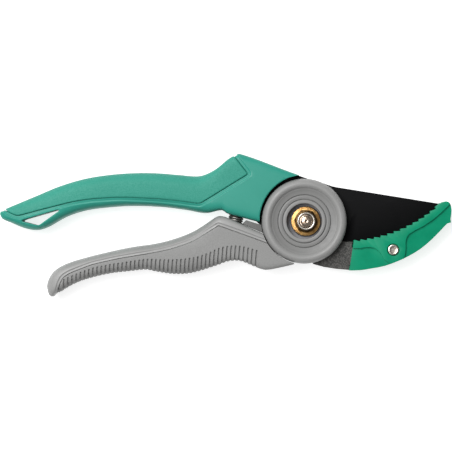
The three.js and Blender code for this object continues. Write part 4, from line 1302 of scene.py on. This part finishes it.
def make_spring():
    """Round wire screwed up along the axis, with a closed flat turn at each end."""
    bpy.ops.object.select_all(action="DESELECT")
    bpy.ops.mesh.primitive_circle_add(vertices=WIRE_SIDES, fill_type="NOTHING", radius=SPRING_WIRE / 2 * MM)
    wire = bpy.context.object
    points = mesh_points(wire)
    middle = SPRING_RADIUS - SPRING_WIRE / 2
    rise = SPRING_LENGTH - SPRING_WIRE
    put_points(wire, np.stack([points[:, 0] + middle, points[:, 2], points[:, 1] - rise / 2], axis=1))
    screw = wire.modifiers.new("coil", "SCREW")
    screw.axis = "Z"
    screw.angle = math.radians(360 * SPRING_TURNS)
    screw.screw_offset = rise * MM
    screw.steps = screw.render_steps = round(STEPS_A_TURN * SPRING_TURNS)
    apply(wire, screw)
    edit(wire)
    bpy.ops.mesh.select_all(action="DESELECT")
    bpy.ops.mesh.select_non_manifold()
    bpy.ops.mesh.fill_holes(sides=0)
    leave_edit()
    mend(wire, 0.002)
    close_end_turns(wire, rise / 2)
    on_axis(wire, SPRING_AXIS)
    return shade(wire, 60)


def close_end_turns(wire, half):
    """Lowers the pitch over the first and last turn, so that the ends lie flat."""
    points = mesh_points(wire)
    share = points[:, 2] / half
    points[:, 2] = half * (share + END_CLOSING * np.sin(np.pi * share) * np.abs(share))
    put_points(wire, points)


spring = finish_piece(make_spring(), "coil_spring", None, SPRING_STEEL, "dark_steel", "spring")
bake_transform(spring)

# ---------- Studio (places in metres) ----------

LIGHT_AIM = Vector((-0.035, 0, 0))
LIGHT_SIZE = 0.6
VIEW_CENTRE = (-0.03826, -0.0023, 0.012)
VIEW_WIDTH = 0.217  # what the camera sees across, at the centre's height
LENS, SENSOR = 150.0, 36.0


def softbox(name, place, power):
    light = bpy.data.lights.new(name, "AREA")
    light.energy = power
    light.size = LIGHT_SIZE
    lamp = bpy.data.objects.new(name, light)
    lamp.location = place
    lamp.rotation_euler = (LIGHT_AIM - Vector(place)).to_track_quat("-Z", "Y").to_euler()
    bpy.context.collection.objects.link(lamp)


def studio():
    """A pale, faintly glowing light table in a dim room, a key softbox at the upper left, one higher up."""
    bpy.ops.object.select_all(action="DESELECT")
    bpy.ops.mesh.primitive_plane_add(size=6, location=(-0.04, 0, -0.0002))
    floor = settle(bpy.context.object)
    floor.name = "floor"
    table = Recipe("pale_light_table", (190, 190, 190), 0.9, Emission_Strength=0.75)
    table.shader.inputs["Emission Color"].default_value = (1, 1, 1, 1)
    floor.data.materials.append(table.material)
    world = bpy.data.worlds.new("studio")
    world.use_nodes = True
    world.node_tree.nodes["Background"].inputs["Color"].default_value = (1, 1, 1, 1)
    world.node_tree.nodes["Background"].inputs["Strength"].default_value = 0.2
    bpy.context.scene.world = world
    softbox("key_softbox", (-0.4, 0.42, 0.85), 9.0)
    softbox("high_softbox", (-0.45, 0.12, 1.3), 7.0)


def camera():
    """Looks straight down on the shears, from far away."""
    data = bpy.data.cameras.new("camera")
    data.lens = LENS
    data.sensor_width = SENSOR
    obj = bpy.data.objects.new("camera", data)
    x, y, z = VIEW_CENTRE
    obj.location = (x, y, z + VIEW_WIDTH * LENS / SENSOR)
    bpy.context.collection.objects.link(obj)
    bpy.context.scene.camera = obj
    bpy.context.scene.view_settings.view_transform = "Standard"


studio()
camera()
